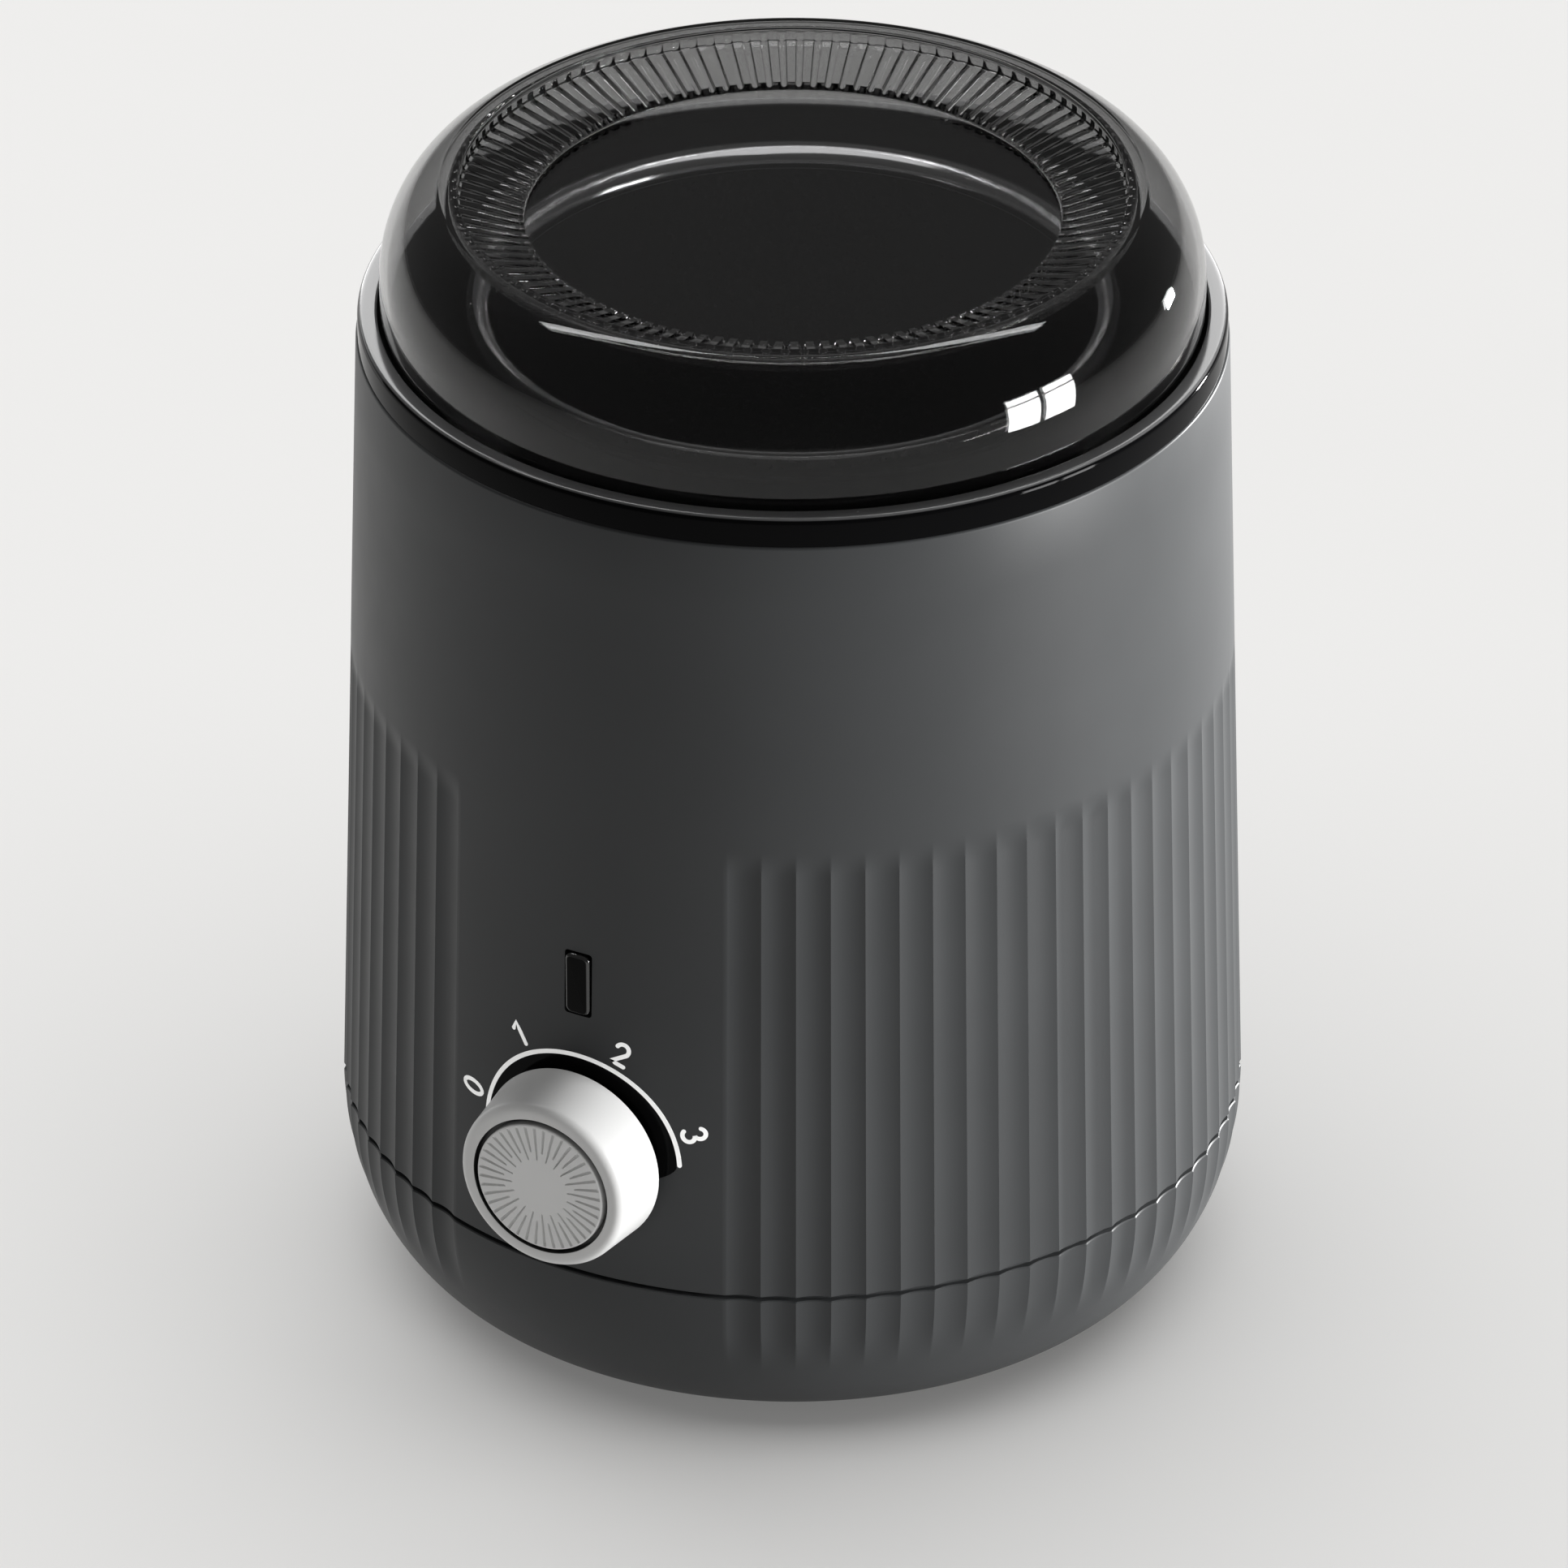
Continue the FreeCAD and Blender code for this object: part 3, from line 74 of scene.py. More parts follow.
# Sizes taken from the frame
BASE_LOW, BASE_HIGH = corners("base_shell")
LID_LOW, LID_HIGH = corners("lid")
POT_LOW, POT_HIGH = corners("inner_pot")
KNOB_LOW, KNOB_HIGH = corners("knob")
CAP_LOW, CAP_HIGH = corners("knob_cap")
LENS_LOW, LENS_HIGH = corners("indicator_lens")
INLET_LOW, INLET_HIGH = corners("inlet_socket")
DECK_HIGH = corners("deck_ring")[1]
FOOT_TOP = corners("feet")[1].z
RIM_Z = corners("body_shell")[1].z
SEAM_R = BASE_HIGH.x
LID_R = LID_HIGH.x
LID_FOOT = LID_LOW.z
LID_TOP = LID_HIGH.z
DECK_R = DECK_HIGH.x
DECK_TOP = DECK_HIGH.z
KNOB_Z = (KNOB_LOW.z + KNOB_HIGH.z) / 2
LENS_Z = (LENS_LOW.z + LENS_HIGH.z) / 2
INLET_Z = (INLET_LOW.z + INLET_HIGH.z) / 2

# Casing
CASE_WALL = 2.4
SEAM_Z = 25.0
SEAM_GAP = 0.6
BODY_FOOT = SEAM_Z + SEAM_GAP / 2
BASE_TOP = SEAM_Z - SEAM_GAP / 2
BODY_DRAFT = 0.03          # radius lost for each millimetre of height
BODY_RIM_ROUND = 0.4
SEAM_EDGE = 0.15           # small rounding of the edges at the seam
SEAM_DEPTH = 1.1
BASE_TUCK = 13.4
BASE_ROWS = 14             # rows of the base's inside
BOWL_ROWS = 42             # rows of its fluted outside
BOTTOM_RING = 0.6          # ring in the flat bottom, as a share of its radius
SPIGOT_FIT = 0.2
SPIGOT_WALL = 1.8
SPIGOT_H = 4.0
FLUTE_PITCHES = 82
PANEL_PITCHES = 9
FLUTE_DEPTH = 0.42
FLUTE_TOP = 92.3
FLUTE_TOP_FADE = 4.5
FLUTE_FOOT = 12.0
FLUTE_FOOT_FADE = 7.5
FADE_ROWS = 12
WALL_ROWS = 5
# Columns across each flute, as shares of its pitch, closer together at its crests
FLUTE_CUTS = (0.0, 0.035, 0.1, 0.2, 0.3, 0.4, 0.5, 0.6, 0.7, 0.8, 0.9, 0.965)
PANEL_CUTS = 8             # columns across each pitch of the plain panel
PITCH = 360.0 / FLUTE_PITCHES
PANEL_ANGLE = PANEL_PITCHES * PITCH
LENS_W = 3.6
LENS_H = 9.0
LENS_SLOT_ROUND = 0.5
INLET_ROUND = 2.0
BUSH_HOLE_R = 5.1
NUT_SPOT_R = 8.7
NUT_SPOT_DEPTH = 0.6
HOLE_FIT = 0.2
CUT_OUTSIDE = 5.0          # reach of the wall's cutters past the seam's radius
CUT_INSIDE = 10.0          # and inside it
CUT_BELOW = 1.0            # reach of the bottom's cutters under the floor's height
FOOT_COUNT = 4             # feet, and as many screws between them
FOOT_R = 5.0
FOOT_CIRCLE = 38.0
SCREW_WELL_R = 3.0
SCREW_WELL_DEPTH = 3.0
SCREW_CIRCLE = 41.6

# Deck and pot
LID_SIDE_GAP = 0.3
LID_REST_GAP = 0.3
DECK_SEAT_R = LID_R + LID_SIDE_GAP
DECK_Z = LID_FOOT - LID_REST_GAP
DECK_SEAT_ROUND = 0.3
DECK_COLLAR = 1.5          # collar's foot inside the seat's radius
DECK_EDGE_ROUND = 0.9
DECK_SATIN = 0.25          # depth of the paler top of the deck's edge
DECK_LAND_ROUND = 0.4
DECK_T = 2.2
DECK_LIP = 2.5
DECK_LIP_H = 0.6
DECK_LIP_ROUND = 0.3
DECK_SKIRT_H = 5.0
DECK_SKIRT_T = 2.0
POT_HOLE_GAP = 0.6
POT_ROLL = 2.5
POT_RIM_H = 2.0
POT_RIM_ROUND = 1.2
POT_RIM_FOOT = 0.6
POT_MOUTH_ROUND = 2.4
POT_WALL = 1.2
POT_BARE = 2.6             # depth of the bare metal inside the mouth
POT_DRAFT = 0.02
POT_ROUND = 5.0

# Lid
LID_WALL = 1.0
LID_FOOT_ROUND = 0.4
LID_WELL = 10.3            # lid's wall to the lip's inner face
LID_LAND = 2.4             # flat top of the lip
LID_EDGE_ROUND = 0.5
LID_SHOULDER_H = 13.2
SHOULDER_END = 72.0        # angle where the shoulder's ellipse meets the land
LID_LIP_DROP = 2.0
LID_LIP_ROUND = 0.3
HOLLOW_ROUND = 0.2         # corners of the hollow behind the lip
RIB_COUNT = 114
# Columns across each rib, as shares of its pitch, closer together in the groove
RIB_CUTS = (0.0, 0.13, 0.25, 0.28, 0.33, 0.41, 0.5, 0.59, 0.67, 0.72, 0.75, 0.87)
RIB_GROOVE = 0.24          # half width of a groove, as a share of the pitch
RIB_RING = 8.4
RIB_RING_DROP = 1.75
RIB_DEPTH = 0.65
RIB_FOOT_DEPTH = 0.75
RIB_FILLET = 0.5
RIB_ARCH = 0.8             # rib ends below the lip's top edge
RIB_ARCH_ROUND = 0.7
RIB_ROWS = 4
FLOOR_STEP = 1.25
FLOOR_T = 0.7
FLOOR_ROUND = 0.2
SHOULDER_ROWS = 20

# Dial
KNOB_FRONT_R = 11.9
KNOB_WALL = 1.6
KNOB_ROUND = 1.3
KNOB_BACK_ROUND = 0.3
KNOB_WELL_ROUND = 0.2
CAP_R = CAP_HIGH.x
CAP_GAP = 0.38             # shadow gap round the cap, taken from its edge
CAP_FIT = 0.2
CAP_ROUND = 0.25
WELL_SHADE = 0.08          # strip of painted shade past the wall of the cap's well
CAP_MIDDLE = 1.0
CAP_ROWS = 34
CAP_LINES = 40
CAP_LINE_DEPTH = 0.42
CAP_LINE_SHARE = 0.17      # half width of a line, as a share of its pitch
# Columns across a line, in half widths from its middle, with their share of its depth
CAP_LINE_CUTS = ((-1, 0.0), (-0.5, 0.8), (0, 1.0), (0.5, 0.8), (1, 0.0))
CAP_LINE_LONG = 4.0        # radius where a long line starts
CAP_LINE_SHORT = 5.2
CAP_LINE_END = 9.0
CAP_LINE_FADE = 0.5
SCALE_R = 14.4
SCALE_W = 0.62
SCALE_FROM = 176.0
SCALE_TO = 4.0
SCALE_STEPS = 96
NUMBER_R = 17.3
NUMBER_H = 3.2
NUMBER_W = 0.6
NUMBER_PLACES = (168.0, 121.0, 69.0, 20.0)
LENS_PROUD = 0.45
LENS_EDGE = 0.5
LENS_CORNER = 1.0
RING_IN = 9.0
RING_OUT = 14.1
RING_LIFT = 0.02
RING_STEPS = 8
RING_SHADE_TAIL = 18.0           # angle over which the band narrows past the scale, as painted shade of the knob that fades out
PRINT_LIFT = 0.04
PRINT_SINK = 0.04
PRINT_TIP = 0.01           # half width at the very end of a printed line

# Mesh steps and shading
ARC_STEPS = 6
CURVE_STEPS = 24
DRUM_COLUMNS = 64
BRACE = 0.15               # support points from the ends of a flat run
BRACE_RUN = 1.2            # shortest run that gets them
ROUND_COLUMNS = 192
CREASE = 32.0              # edges sharper than this stay sharp
LID_CREASE = 40.0


# Mesh helpers

def place(radius, degrees, z):
    """Point at an angle from the front, turning towards +X."""
    a = math.radians(degrees)
    return Vector((radius * math.sin(a), -radius * math.cos(a), z))


def to_front(radius, degrees, along):
    """Point about the dial's axis, at a distance along it from the casing's axis."""
    a = math.radians(degrees)
    return Vector((radius * math.cos(a), -along, KNOB_Z + radius * math.sin(a)))


def quarter(first=0):
    """Cosine and sine at the steps of a quarter turn."""
    turns = [math.pi / 2 * k / ARC_STEPS for k in range(first, ARC_STEPS + 1)]
    return [(math.cos(turn), math.sin(turn)) for turn in turns]


def rounded(outline):
    """Outline of (r, z) or (r, z, rounding) corners with its roundings as short chords."""
    points = []
    count = len(outline)
    for i, corner in enumerate(outline):
        here = Vector(corner[:2])
        size = corner[2] if len(corner) > 2 else 0.0
        if not size:
            points.append(here)
            continue
        back = (Vector(outline[i - 1][:2]) - here).normalized()
        ahead = (Vector(outline[(i + 1) % count][:2]) - here).normalized()
        half = back.angle(ahead) / 2
        middle = here + (back + ahead).normalized() * (size / math.sin(half))
        start = here + back * (size / math.tan(half)) - middle
        end = here + ahead * (size / math.tan(half)) - middle
        sweep = math.pi - 2 * half
        for k in range(ARC_STEPS + 1):
            share = k / ARC_STEPS
            mix = start * math.sin((1 - share) * sweep) + end * math.sin(share * sweep)
            points.append(middle + mix / math.sin(sweep))
    return points


def braced(outline):
    """Outline with points near both ends of its long runs, so that their shading stays flat."""
    points = [Vector(outline[0])]
    for here, ahead in zip(outline, outline[1:]):
        run = Vector(ahead) - Vector(here)
        if run.length > BRACE_RUN:
            step = run.normalized() * BRACE
            points += [Vector(here) + step, Vector(ahead) - step]
        points.append(Vector(ahead))
    return points


def skin(rings, loop=False):
    """Points and faces over closed rings of points; a ring of one point is a pole."""
    points = []
    starts = []
    for ring in rings:
        starts.append(len(points))
        points += ring
    pairs = list(zip(range(len(rings)), range(1, len(rings))))
    if loop:
        pairs.append((len(rings) - 1, 0))
    faces = []
    for a, b in pairs:
        near = len(rings[a])
        far = len(rings[b])
        count = max(near, far)
        for i in range(count):
            j = (i + 1) % count
            quad = [starts[a] + i % near, starts[a] + j % near, starts[b] + j % far, starts[b] + i % far]
            face = list(dict.fromkeys(quad))
            if len(face) > 2:
                faces.append(face)
    return points, faces


def evenly(count):
    """Angles that share a full turn."""
    return [i * 360.0 / count for i in range(count)]


def lathe(outline, columns=ROUND_COLUMNS, put=place):
    """Rings of an outline turned about an axis; a radius of zero gives a pole."""
    rings = []
    for radius, z in outline:
        if radius == 0:
            rings.append([put(0, 0, z)])
        else:
            rings.append([put(radius, a, z) for a in evenly(columns)])
    return rings


def new_mesh(name, points, faces):
    """Object with outward normals, from points in millimetres."""
    mesh = bpy.data.meshes.new(name)
    mesh.from_pydata([p * MM for p in points], [], faces)
    builder = bmesh.new()
    builder.from_mesh(mesh)
    bmesh.ops.recalc_face_normals(builder, faces=builder.faces)
    builder.to_mesh(mesh)
    builder.free()
    obj = bpy.data.objects.new(name, mesh)
    bpy.context.scene.collection.objects.link(obj)
    return obj


def soften(obj, sharp=CREASE):
    """Smooth shading with creases kept."""
    mesh = obj.data
    mesh.shade_smooth()
    mesh.set_sharp_from_angle(angle=math.radians(sharp))


def cut_away(obj, cutters):
    """Cut closed meshes out of an object and remove them."""
    for cutter in cutters:
        change = obj.modifiers.new("cut", "BOOLEAN")
        change.operation = "DIFFERENCE"
        change.solver = "EXACT"
        change.object = cutter
    bpy.context.view_layer.update()
    depsgraph = bpy.context.evaluated_depsgraph_get()
    mesh = bpy.data.meshes.new_from_object(obj.evaluated_get(depsgraph))
    obj.modifiers.clear()
    obj.data = mesh
    for cutter in cutters:
        bpy.data.objects.remove(cutter)


def settle(obj, material, body, slot, *nodes):
    """Give a finished mesh its material and body, and hide the nodes that it stands for; the slot is not
    used.
    """
    obj.data.materials.clear()
    obj.data.materials.append(material)
    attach(obj, body)
    if nodes:
        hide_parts(*nodes)
    return obj


def prism(name, width, height, rounding, low, high, z, front=True):
    """Rounded bar through the front or rear wall, for cutting."""
    half_w = width / 2
    half_h = height / 2
    outline = rounded([(-half_w, -half_h, rounding), (half_w, -half_h, rounding),
                       (half_w, half_h, rounding), (-half_w, half_h, rounding)])
    side = -1 if front else 1
    rings = [[Vector((x, side * depth, z + y)) for x, y in outline] for depth in (low, high)]
    caps = [[Vector((0, side * depth, z))] for depth in (low, high)]
    return new_mesh(name, *skin([caps[0], rings[0], rings[1], caps[1]]))


def drum(name, radius, low, high, put):
    """Round bar for cutting."""
    outline = [(0, low), (radius, low), (radius, high), (0, high)]
    return new_mesh(name, *skin(lathe(outline, DRUM_COLUMNS, put)))


def upright_at(centre):
    """Way to place points about an upright axis through a point."""
    return lambda radius, degrees, z: place(radius, degrees, z) + centre


# Finishes, with the sizes of their noises and reliefs in millimetres

BLEND = 0.06               # half height over which a finish changes
NOISE_LOW = 0.3            # middle of a noise, which is spread over a range
NOISE_HIGH = 0.7
MOTTLE_SIZE = 22.0
SHEEN_SIZE = 6.0
SHEEN_SPREAD = 0.03
GRAIN_SIZE = 0.25
GRAIN_DETAIL = 2.0
GRAIN_RELIEF = 0.004
GLOSS_RELIEF = 0.0006
KNOB_MOTTLE = 0.02
# painted shade of the cap's well, on the knob's moulding
PAINTED_WELL_SHADE = (0.004, 0.004, 0.004)
PATINA_SIZE = 9.0
PATINA_SPREAD = 0.06
MARK_SIZE = 0.6
MARK_DETAIL = 4.0
MARK_SPREAD = 0.25
MARK_RELIEF = 0.003
SMOKE_TINT = 0.53
SMOKE_GLOSS = 0.6
SMOKE_IOR = 1.46
SMOKE_ROUGH = (0.012, 0.03)
SMOKE_PATCH = 14.0
SMOKE_DEPTH = 0.02
SMOKE_DENSITY = 90.0
LAND_COLOUR = (0.09, 0.09, 0.091)
LAND_ROUGH = 0.16
LAND_GLOSS = 0.5
COLLAR_GLOSS = 0.04
COAT_SPECK = 0.8
COAT_DETAIL = 5.0
COAT_SPREAD = 0.35
COAT_GRAIN = 0.5
COAT_RELIEF = 0.002
BARE_COLOUR = (0.7, 0.7, 0.71)
BARE_ROUGH = 0.14
WINDOW_FACE = 0.99         # cosine of the turn where the window's edge starts
WINDOW_EDGE = 0.9          # and where it shines fully
WINDOW_FACE_GLOSS = 0.05
WINDOW_EDGE_GLOSS = 1.0
STRAND_SIZE = 0.5
STRAND_DETAIL = 5.0
STRAND_STRETCH = (1, 1, 6)
STRAND_SPREAD = 0.12
STRAND_ROUGH = (0.8, 0.95)
STRAND_RELIEF = 0.2
STRAND_SHEEN = 0.2


def grey(value):
    """Opaque grey."""
    return value, value, value, 1


class Finish:
    """Node tree of one material with a single principled shader."""

    def __init__(self, name):
        self.material = bpy.data.materials.new(name)
        self.material.use_nodes = True
        self.tree = self.material.node_tree
        self.shader = self.tree.nodes["Principled BSDF"]
        self.output = self.tree.nodes["Material Output"]
        coordinates = self.add("ShaderNodeTexCoord")
        self.place = coordinates.outputs["Object"]
        self.normal = coordinates.outputs["Normal"]

    def add(self, kind, **values):
        """New node with some of its settings."""
        node = self.tree.nodes.new(kind)
        for key, value in values.items():
            setattr(node, key, value)
        return node

    def link(self, start, end):
        """Join two sockets."""
        self.tree.links.new(start, end)

    def set(self, **values):
        """Set sockets of the shader, with spaces of their names as underscores."""
        for key, value in values.items():
            self.shader.inputs[key.replace("_", " ")].default_value = value

    def noise(self, size, detail=3.0, stretch=(1, 1, 1)):
        """Noise whose features measure about size millimetres."""
        mapping = self.add("ShaderNodeMapping")
        mapping.inputs["Scale"].default_value = stretch
        node = self.add("ShaderNodeTexNoise")
        node.inputs["Scale"].default_value = 1 / (size * MM)
        node.inputs["Detail"].default_value = detail
        self.link(self.place, mapping.inputs["Vector"])
        self.link(mapping.outputs["Vector"], node.inputs["Vector"])
        return node.outputs["Fac"]

    def spread(self, value, low, high):
        """Map the middle of a noise to a range."""
        node = self.add("ShaderNodeMapRange")
        node.inputs["From Min"].default_value = NOISE_LOW
        node.inputs["From Max"].default_value = NOISE_HIGH
        node.inputs["To Min"].default_value = low
        node.inputs["To Max"].default_value = high
        self.link(value, node.inputs["Value"])
        return node.outputs["Result"]

    def above(self, z):
        """One above a height of the part, zero below it."""
        split = self.add("ShaderNodeSeparateXYZ")
        self.link(self.place, split.inputs["Vector"])
        node = self.add("ShaderNodeMapRange")
        node.inputs["From Min"].default_value = (z - BLEND) * MM
        node.inputs["From Max"].default_value = (z + BLEND) * MM
        self.link(split.outputs["Z"], node.inputs["Value"])
        return node.outputs["Result"]

    def within(self, radius, across, centre=(0, 0, 0)):
        """One nearer than a radius to an axis through a point, zero further out."""
        offset = self.add("ShaderNodeVectorMath", operation="SUBTRACT")
        offset.inputs[1].default_value = [c * MM for c in centre]
        self.link(self.place, offset.inputs[0])
        flat = self.add("ShaderNodeVectorMath", operation="MULTIPLY")
        flat.inputs[1].default_value = across
        self.link(offset.outputs["Vector"], flat.inputs[0])
        length = self.add("ShaderNodeVectorMath", operation="LENGTH")
        self.link(flat.outputs["Vector"], length.inputs[0])
        inside = self.add("ShaderNodeMath", operation="LESS_THAN")
        inside.inputs[1].default_value = radius * MM
        self.link(length.outputs["Value"], inside.inputs[0])
        return inside.outputs["Value"]

    def ranged(self, share, low, high):
        """Map a share from 0 to 1 to a range."""
        node = self.add("ShaderNodeMapRange")
        node.inputs["To Min"].default_value = low
        node.inputs["To Max"].default_value = high
        self.link(share, node.inputs["Value"])
        return node.outputs["Result"]

    def mixed(self, share, dark, light):
        """Colour between two shades."""
        node = self.add("ShaderNodeMix", data_type="RGBA")
        node.inputs["A"].default_value = (*dark, 1)
        node.inputs["B"].default_value = (*light, 1)
        self.link(share, node.inputs["Factor"])
        return node.outputs["Result"]

    def over(self, under, share, colour):
        """Colour that a share of another one covers."""
        node = self.add("ShaderNodeMix", data_type="RGBA")
        node.inputs["B"].default_value = (*colour, 1)
        self.link(share, node.inputs["Factor"])
        self.link(under, node.inputs["A"])
        return node.outputs["Result"]

    def shaded(self, value, colour, spread):
        """Colour that a noise makes a little darker or lighter."""
        dark = [c * (1 - spread) for c in colour]
        light = [c * (1 + spread) for c in colour]
        return self.mixed(self.spread(value, 0, 1), dark, light)

    def paint(self, colour):
        """Colour of the surface."""
        self.link(colour, self.shader.inputs["Base Color"])

    def rough(self, value, low, high):
        """Roughness that a noise varies in a range."""
        self.link(self.spread(value, low, high), self.shader.inputs["Roughness"])

    def texture(self, roughness, relief):
        """Fine skin of a moulding, whose roughness varies a little."""
        self.rough(self.noise(SHEEN_SIZE), roughness * (1 - SHEEN_SPREAD), roughness * (1 + SHEEN_SPREAD))
        self.bump(self.noise(GRAIN_SIZE, GRAIN_DETAIL), relief)

    def bump(self, value, height):
        """Relief of a height in millimetres."""
        node = self.add("ShaderNodeBump")
        node.inputs["Distance"].default_value = height * MM
        self.link(value, node.inputs["Height"])
        self.link(node.outputs["Normal"], self.shader.inputs["Normal"])


def moulded(name, colour, roughness, mottle=0.04, relief=GRAIN_RELIEF, **sockets):
    """Moulded plastic or rubber: faint mottling and a fine skin texture."""
    look = Finish(name)
    look.set(**sockets)
    look.paint(look.shaded(look.noise(MOTTLE_SIZE), colour, mottle))
    look.texture(roughness, relief)
    return look.material


def with_painted_well_shade(name, colour, roughness, well_r):
    """Satin moulding of the knob, with painted shade in the well behind its cap."""
    look = Finish(name)
    face = look.shaded(look.noise(MOTTLE_SIZE), colour, KNOB_MOTTLE)
    # mask of the painted shade in the well behind the cap
    well = look.within(well_r, (1, 0, 1), (0, 0, KNOB_Z))
    look.paint(look.over(face, well, PAINTED_WELL_SHADE))
    look.texture(roughness, GRAIN_RELIEF)
    return look.material


def metal(name, colour, roughness, stretch=(1, 1, 1)):
    """Bare or plated metal with drawn or turned marks."""
    look = Finish(name)
    look.set(Metallic=1.0)
    look.paint(look.shaded(look.noise(PATINA_SIZE), colour, PATINA_SPREAD))
    marks = look.noise(MARK_SIZE, MARK_DETAIL, stretch)
    look.rough(marks, roughness * (1 - MARK_SPREAD), roughness * (1 + MARK_SPREAD))
    look.bump(marks, MARK_RELIEF)
    return look.material


def clear_smoke(name):
    """Smoked clear plastic, tinted at its surfaces and a little darker with thickness."""
    look = Finish(name)
    look.set(Base_Color=grey(SMOKE_TINT), Specular_Tint=grey(SMOKE_GLOSS))
    look.set(Transmission_Weight=1.0, IOR=SMOKE_IOR)
    look.rough(look.noise(SMOKE_PATCH), *SMOKE_ROUGH)
    body = look.add("ShaderNodeVolumeAbsorption")
    body.inputs["Color"].default_value = grey(SMOKE_DEPTH)
    body.inputs["Density"].default_value = SMOKE_DENSITY
    look.link(body.outputs["Volume"], look.output.inputs["Volume"])
    return look.material


def piano(name, colour, roughness, land_z):
    """Glossy black moulding whose land above a height is paler and catches more light."""
    look = Finish(name)
    land = look.above(land_z)
    look.paint(look.mixed(land, colour, LAND_COLOUR))
    look.link(look.ranged(land, roughness, LAND_ROUGH), look.shader.inputs["Roughness"])
    look.link(look.ranged(land, COLLAR_GLOSS, LAND_GLOSS), look.shader.inputs["Specular IOR Level"])
    look.bump(look.noise(GRAIN_SIZE, GRAIN_DETAIL), GLOSS_RELIEF)
    return look.material


def coated(name, colour, roughness, bare_z, bare_r):
    """Dark glossy non-stick coating, turned bare above a height and inside a radius."""
    look = Finish(name)
    both = look.add("ShaderNodeMath", operation="MULTIPLY")
    look.link(look.within(bare_r, (1, 1, 0)), both.inputs[0])
    look.link(look.above(bare_z), both.inputs[1])
    bare = both.outputs["Value"]
    look.link(bare, look.shader.inputs["Metallic"])
    coat = look.shaded(look.noise(COAT_SPECK, COAT_DETAIL), colour, COAT_SPREAD)
    look.paint(look.over(coat, bare, BARE_COLOUR))
    look.link(look.ranged(bare, roughness, BARE_ROUGH), look.shader.inputs["Roughness"])
    look.bump(look.noise(COAT_GRAIN), COAT_RELIEF)
    return look.material


def window_black(name, colour, roughness):
    """Near-black window whose flat face reflects little and whose rounded edges shine."""
    look = Finish(name)
    look.set(Base_Color=(*colour, 1), Roughness=roughness)
    facing = look.add("ShaderNodeVectorMath", operation="DOT_PRODUCT")
    facing.inputs[1].default_value = (0, -1, 0)
    look.link(look.normal, facing.inputs[0])
    edge = look.add("ShaderNodeMapRange")
    edge.inputs["From Min"].default_value = WINDOW_FACE
    edge.inputs["From Max"].default_value = WINDOW_EDGE
    edge.inputs["To Min"].default_value = WINDOW_FACE_GLOSS
    edge.inputs["To Max"].default_value = WINDOW_EDGE_GLOSS
    look.link(facing.outputs["Value"], edge.inputs["Value"])
    look.link(edge.outputs["Result"], look.shader.inputs["Specular IOR Level"])
    return look.material


def fibre(name, colour):
    """Felted glass-fibre mat."""
    look = Finish(name)
    look.set(Sheen_Weight=STRAND_SHEEN)
    strands = look.noise(STRAND_SIZE, STRAND_DETAIL, STRAND_STRETCH)
    look.paint(look.shaded(strands, colour, STRAND_SPREAD))
    look.rough(strands, *STRAND_ROUGH)
    look.bump(strands, STRAND_RELIEF)
    return look.material


FINISHES = {
    "charcoal": moulded("charcoal", colour=(0.037, 0.0388, 0.0402), roughness=0.42,
                        Specular_IOR_Level=0.25),
    "gloss_black": piano("gloss_black", colour=(0.002, 0.002, 0.0022), roughness=0.06,
                         land_z=DECK_TOP - DECK_SATIN),
    "smoked_clear": clear_smoke("smoked_clear"),
    "silver": with_painted_well_shade("silver", colour=(0.66, 0.66, 0.655), roughness=0.36,
                     well_r=CAP_R + CAP_FIT + WELL_SHADE),
    "cap_grey": moulded("cap_grey", colour=(0.74, 0.74, 0.735), roughness=0.38, mottle=0.03),
    "lens_smoke": window_black("lens_smoke", colour=(0.002, 0.002, 0.002), roughness=0.06),
    "rubber_black": moulded("rubber_black", colour=(0.012, 0.012, 0.012), roughness=0.75, relief=0.02),
    "steel": metal("steel", colour=(0.55, 0.55, 0.56), roughness=0.34),
    "aluminium": metal("aluminium", colour=(0.75, 0.75, 0.76), roughness=0.3, stretch=(1, 1, 8)),
    "nonstick": coated("nonstick", colour=(0.012, 0.012, 0.0125), roughness=0.1,
                       bare_z=POT_HIGH.z - POT_BARE, bare_r=POT_HIGH.x - POT_RIM_ROUND),
    "silicone": moulded("silicone", colour=(0.42, 0.06, 0.035), roughness=0.6),
    "glass_fibre": fibre("glass_fibre", colour=(0.78, 0.75, 0.68)),
    "copper": metal("copper", colour=(0.72, 0.36, 0.22), roughness=0.3),
    "brass": metal("brass", colour=(0.72, 0.52, 0.22), roughness=0.3),
    "phenolic": moulded("phenolic", colour=(0.035, 0.022, 0.016), roughness=0.45, mottle=0.12),
    "white_plastic": moulded("white_plastic", colour=(0.72, 0.72, 0.70), roughness=0.45),
    "lamp_glass": moulded("lamp_glass", colour=(0.95, 0.8, 0.7), roughness=0.05, Transmission_Weight=0.9),
    "black_plastic": moulded("black_plastic", colour=(0.010, 0.010, 0.011), roughness=0.48),
    "nickel": metal("nickel", colour=(0.68, 0.64, 0.56), roughness=0.22),
    "lead_white": moulded("lead_white", colour=(0.7, 0.69, 0.65), roughness=0.6),
}
PRINT = moulded("print_white", colour=(0.92, 0.92, 0.91), roughness=0.5, mottle=0.01)


def dress_nodes():
    """Give every node of the frame the finish of its slot."""
    for name, node in NODES.items():
        node.data.materials.clear()
        node.data.materials.append(FINISHES[SLOT_OF[name]])


# Casing

def body_r(z):
    """Radius of the body, which narrows upwards from the seam."""
    return SEAM_R - BODY_DRAFT * (z - SEAM_Z)


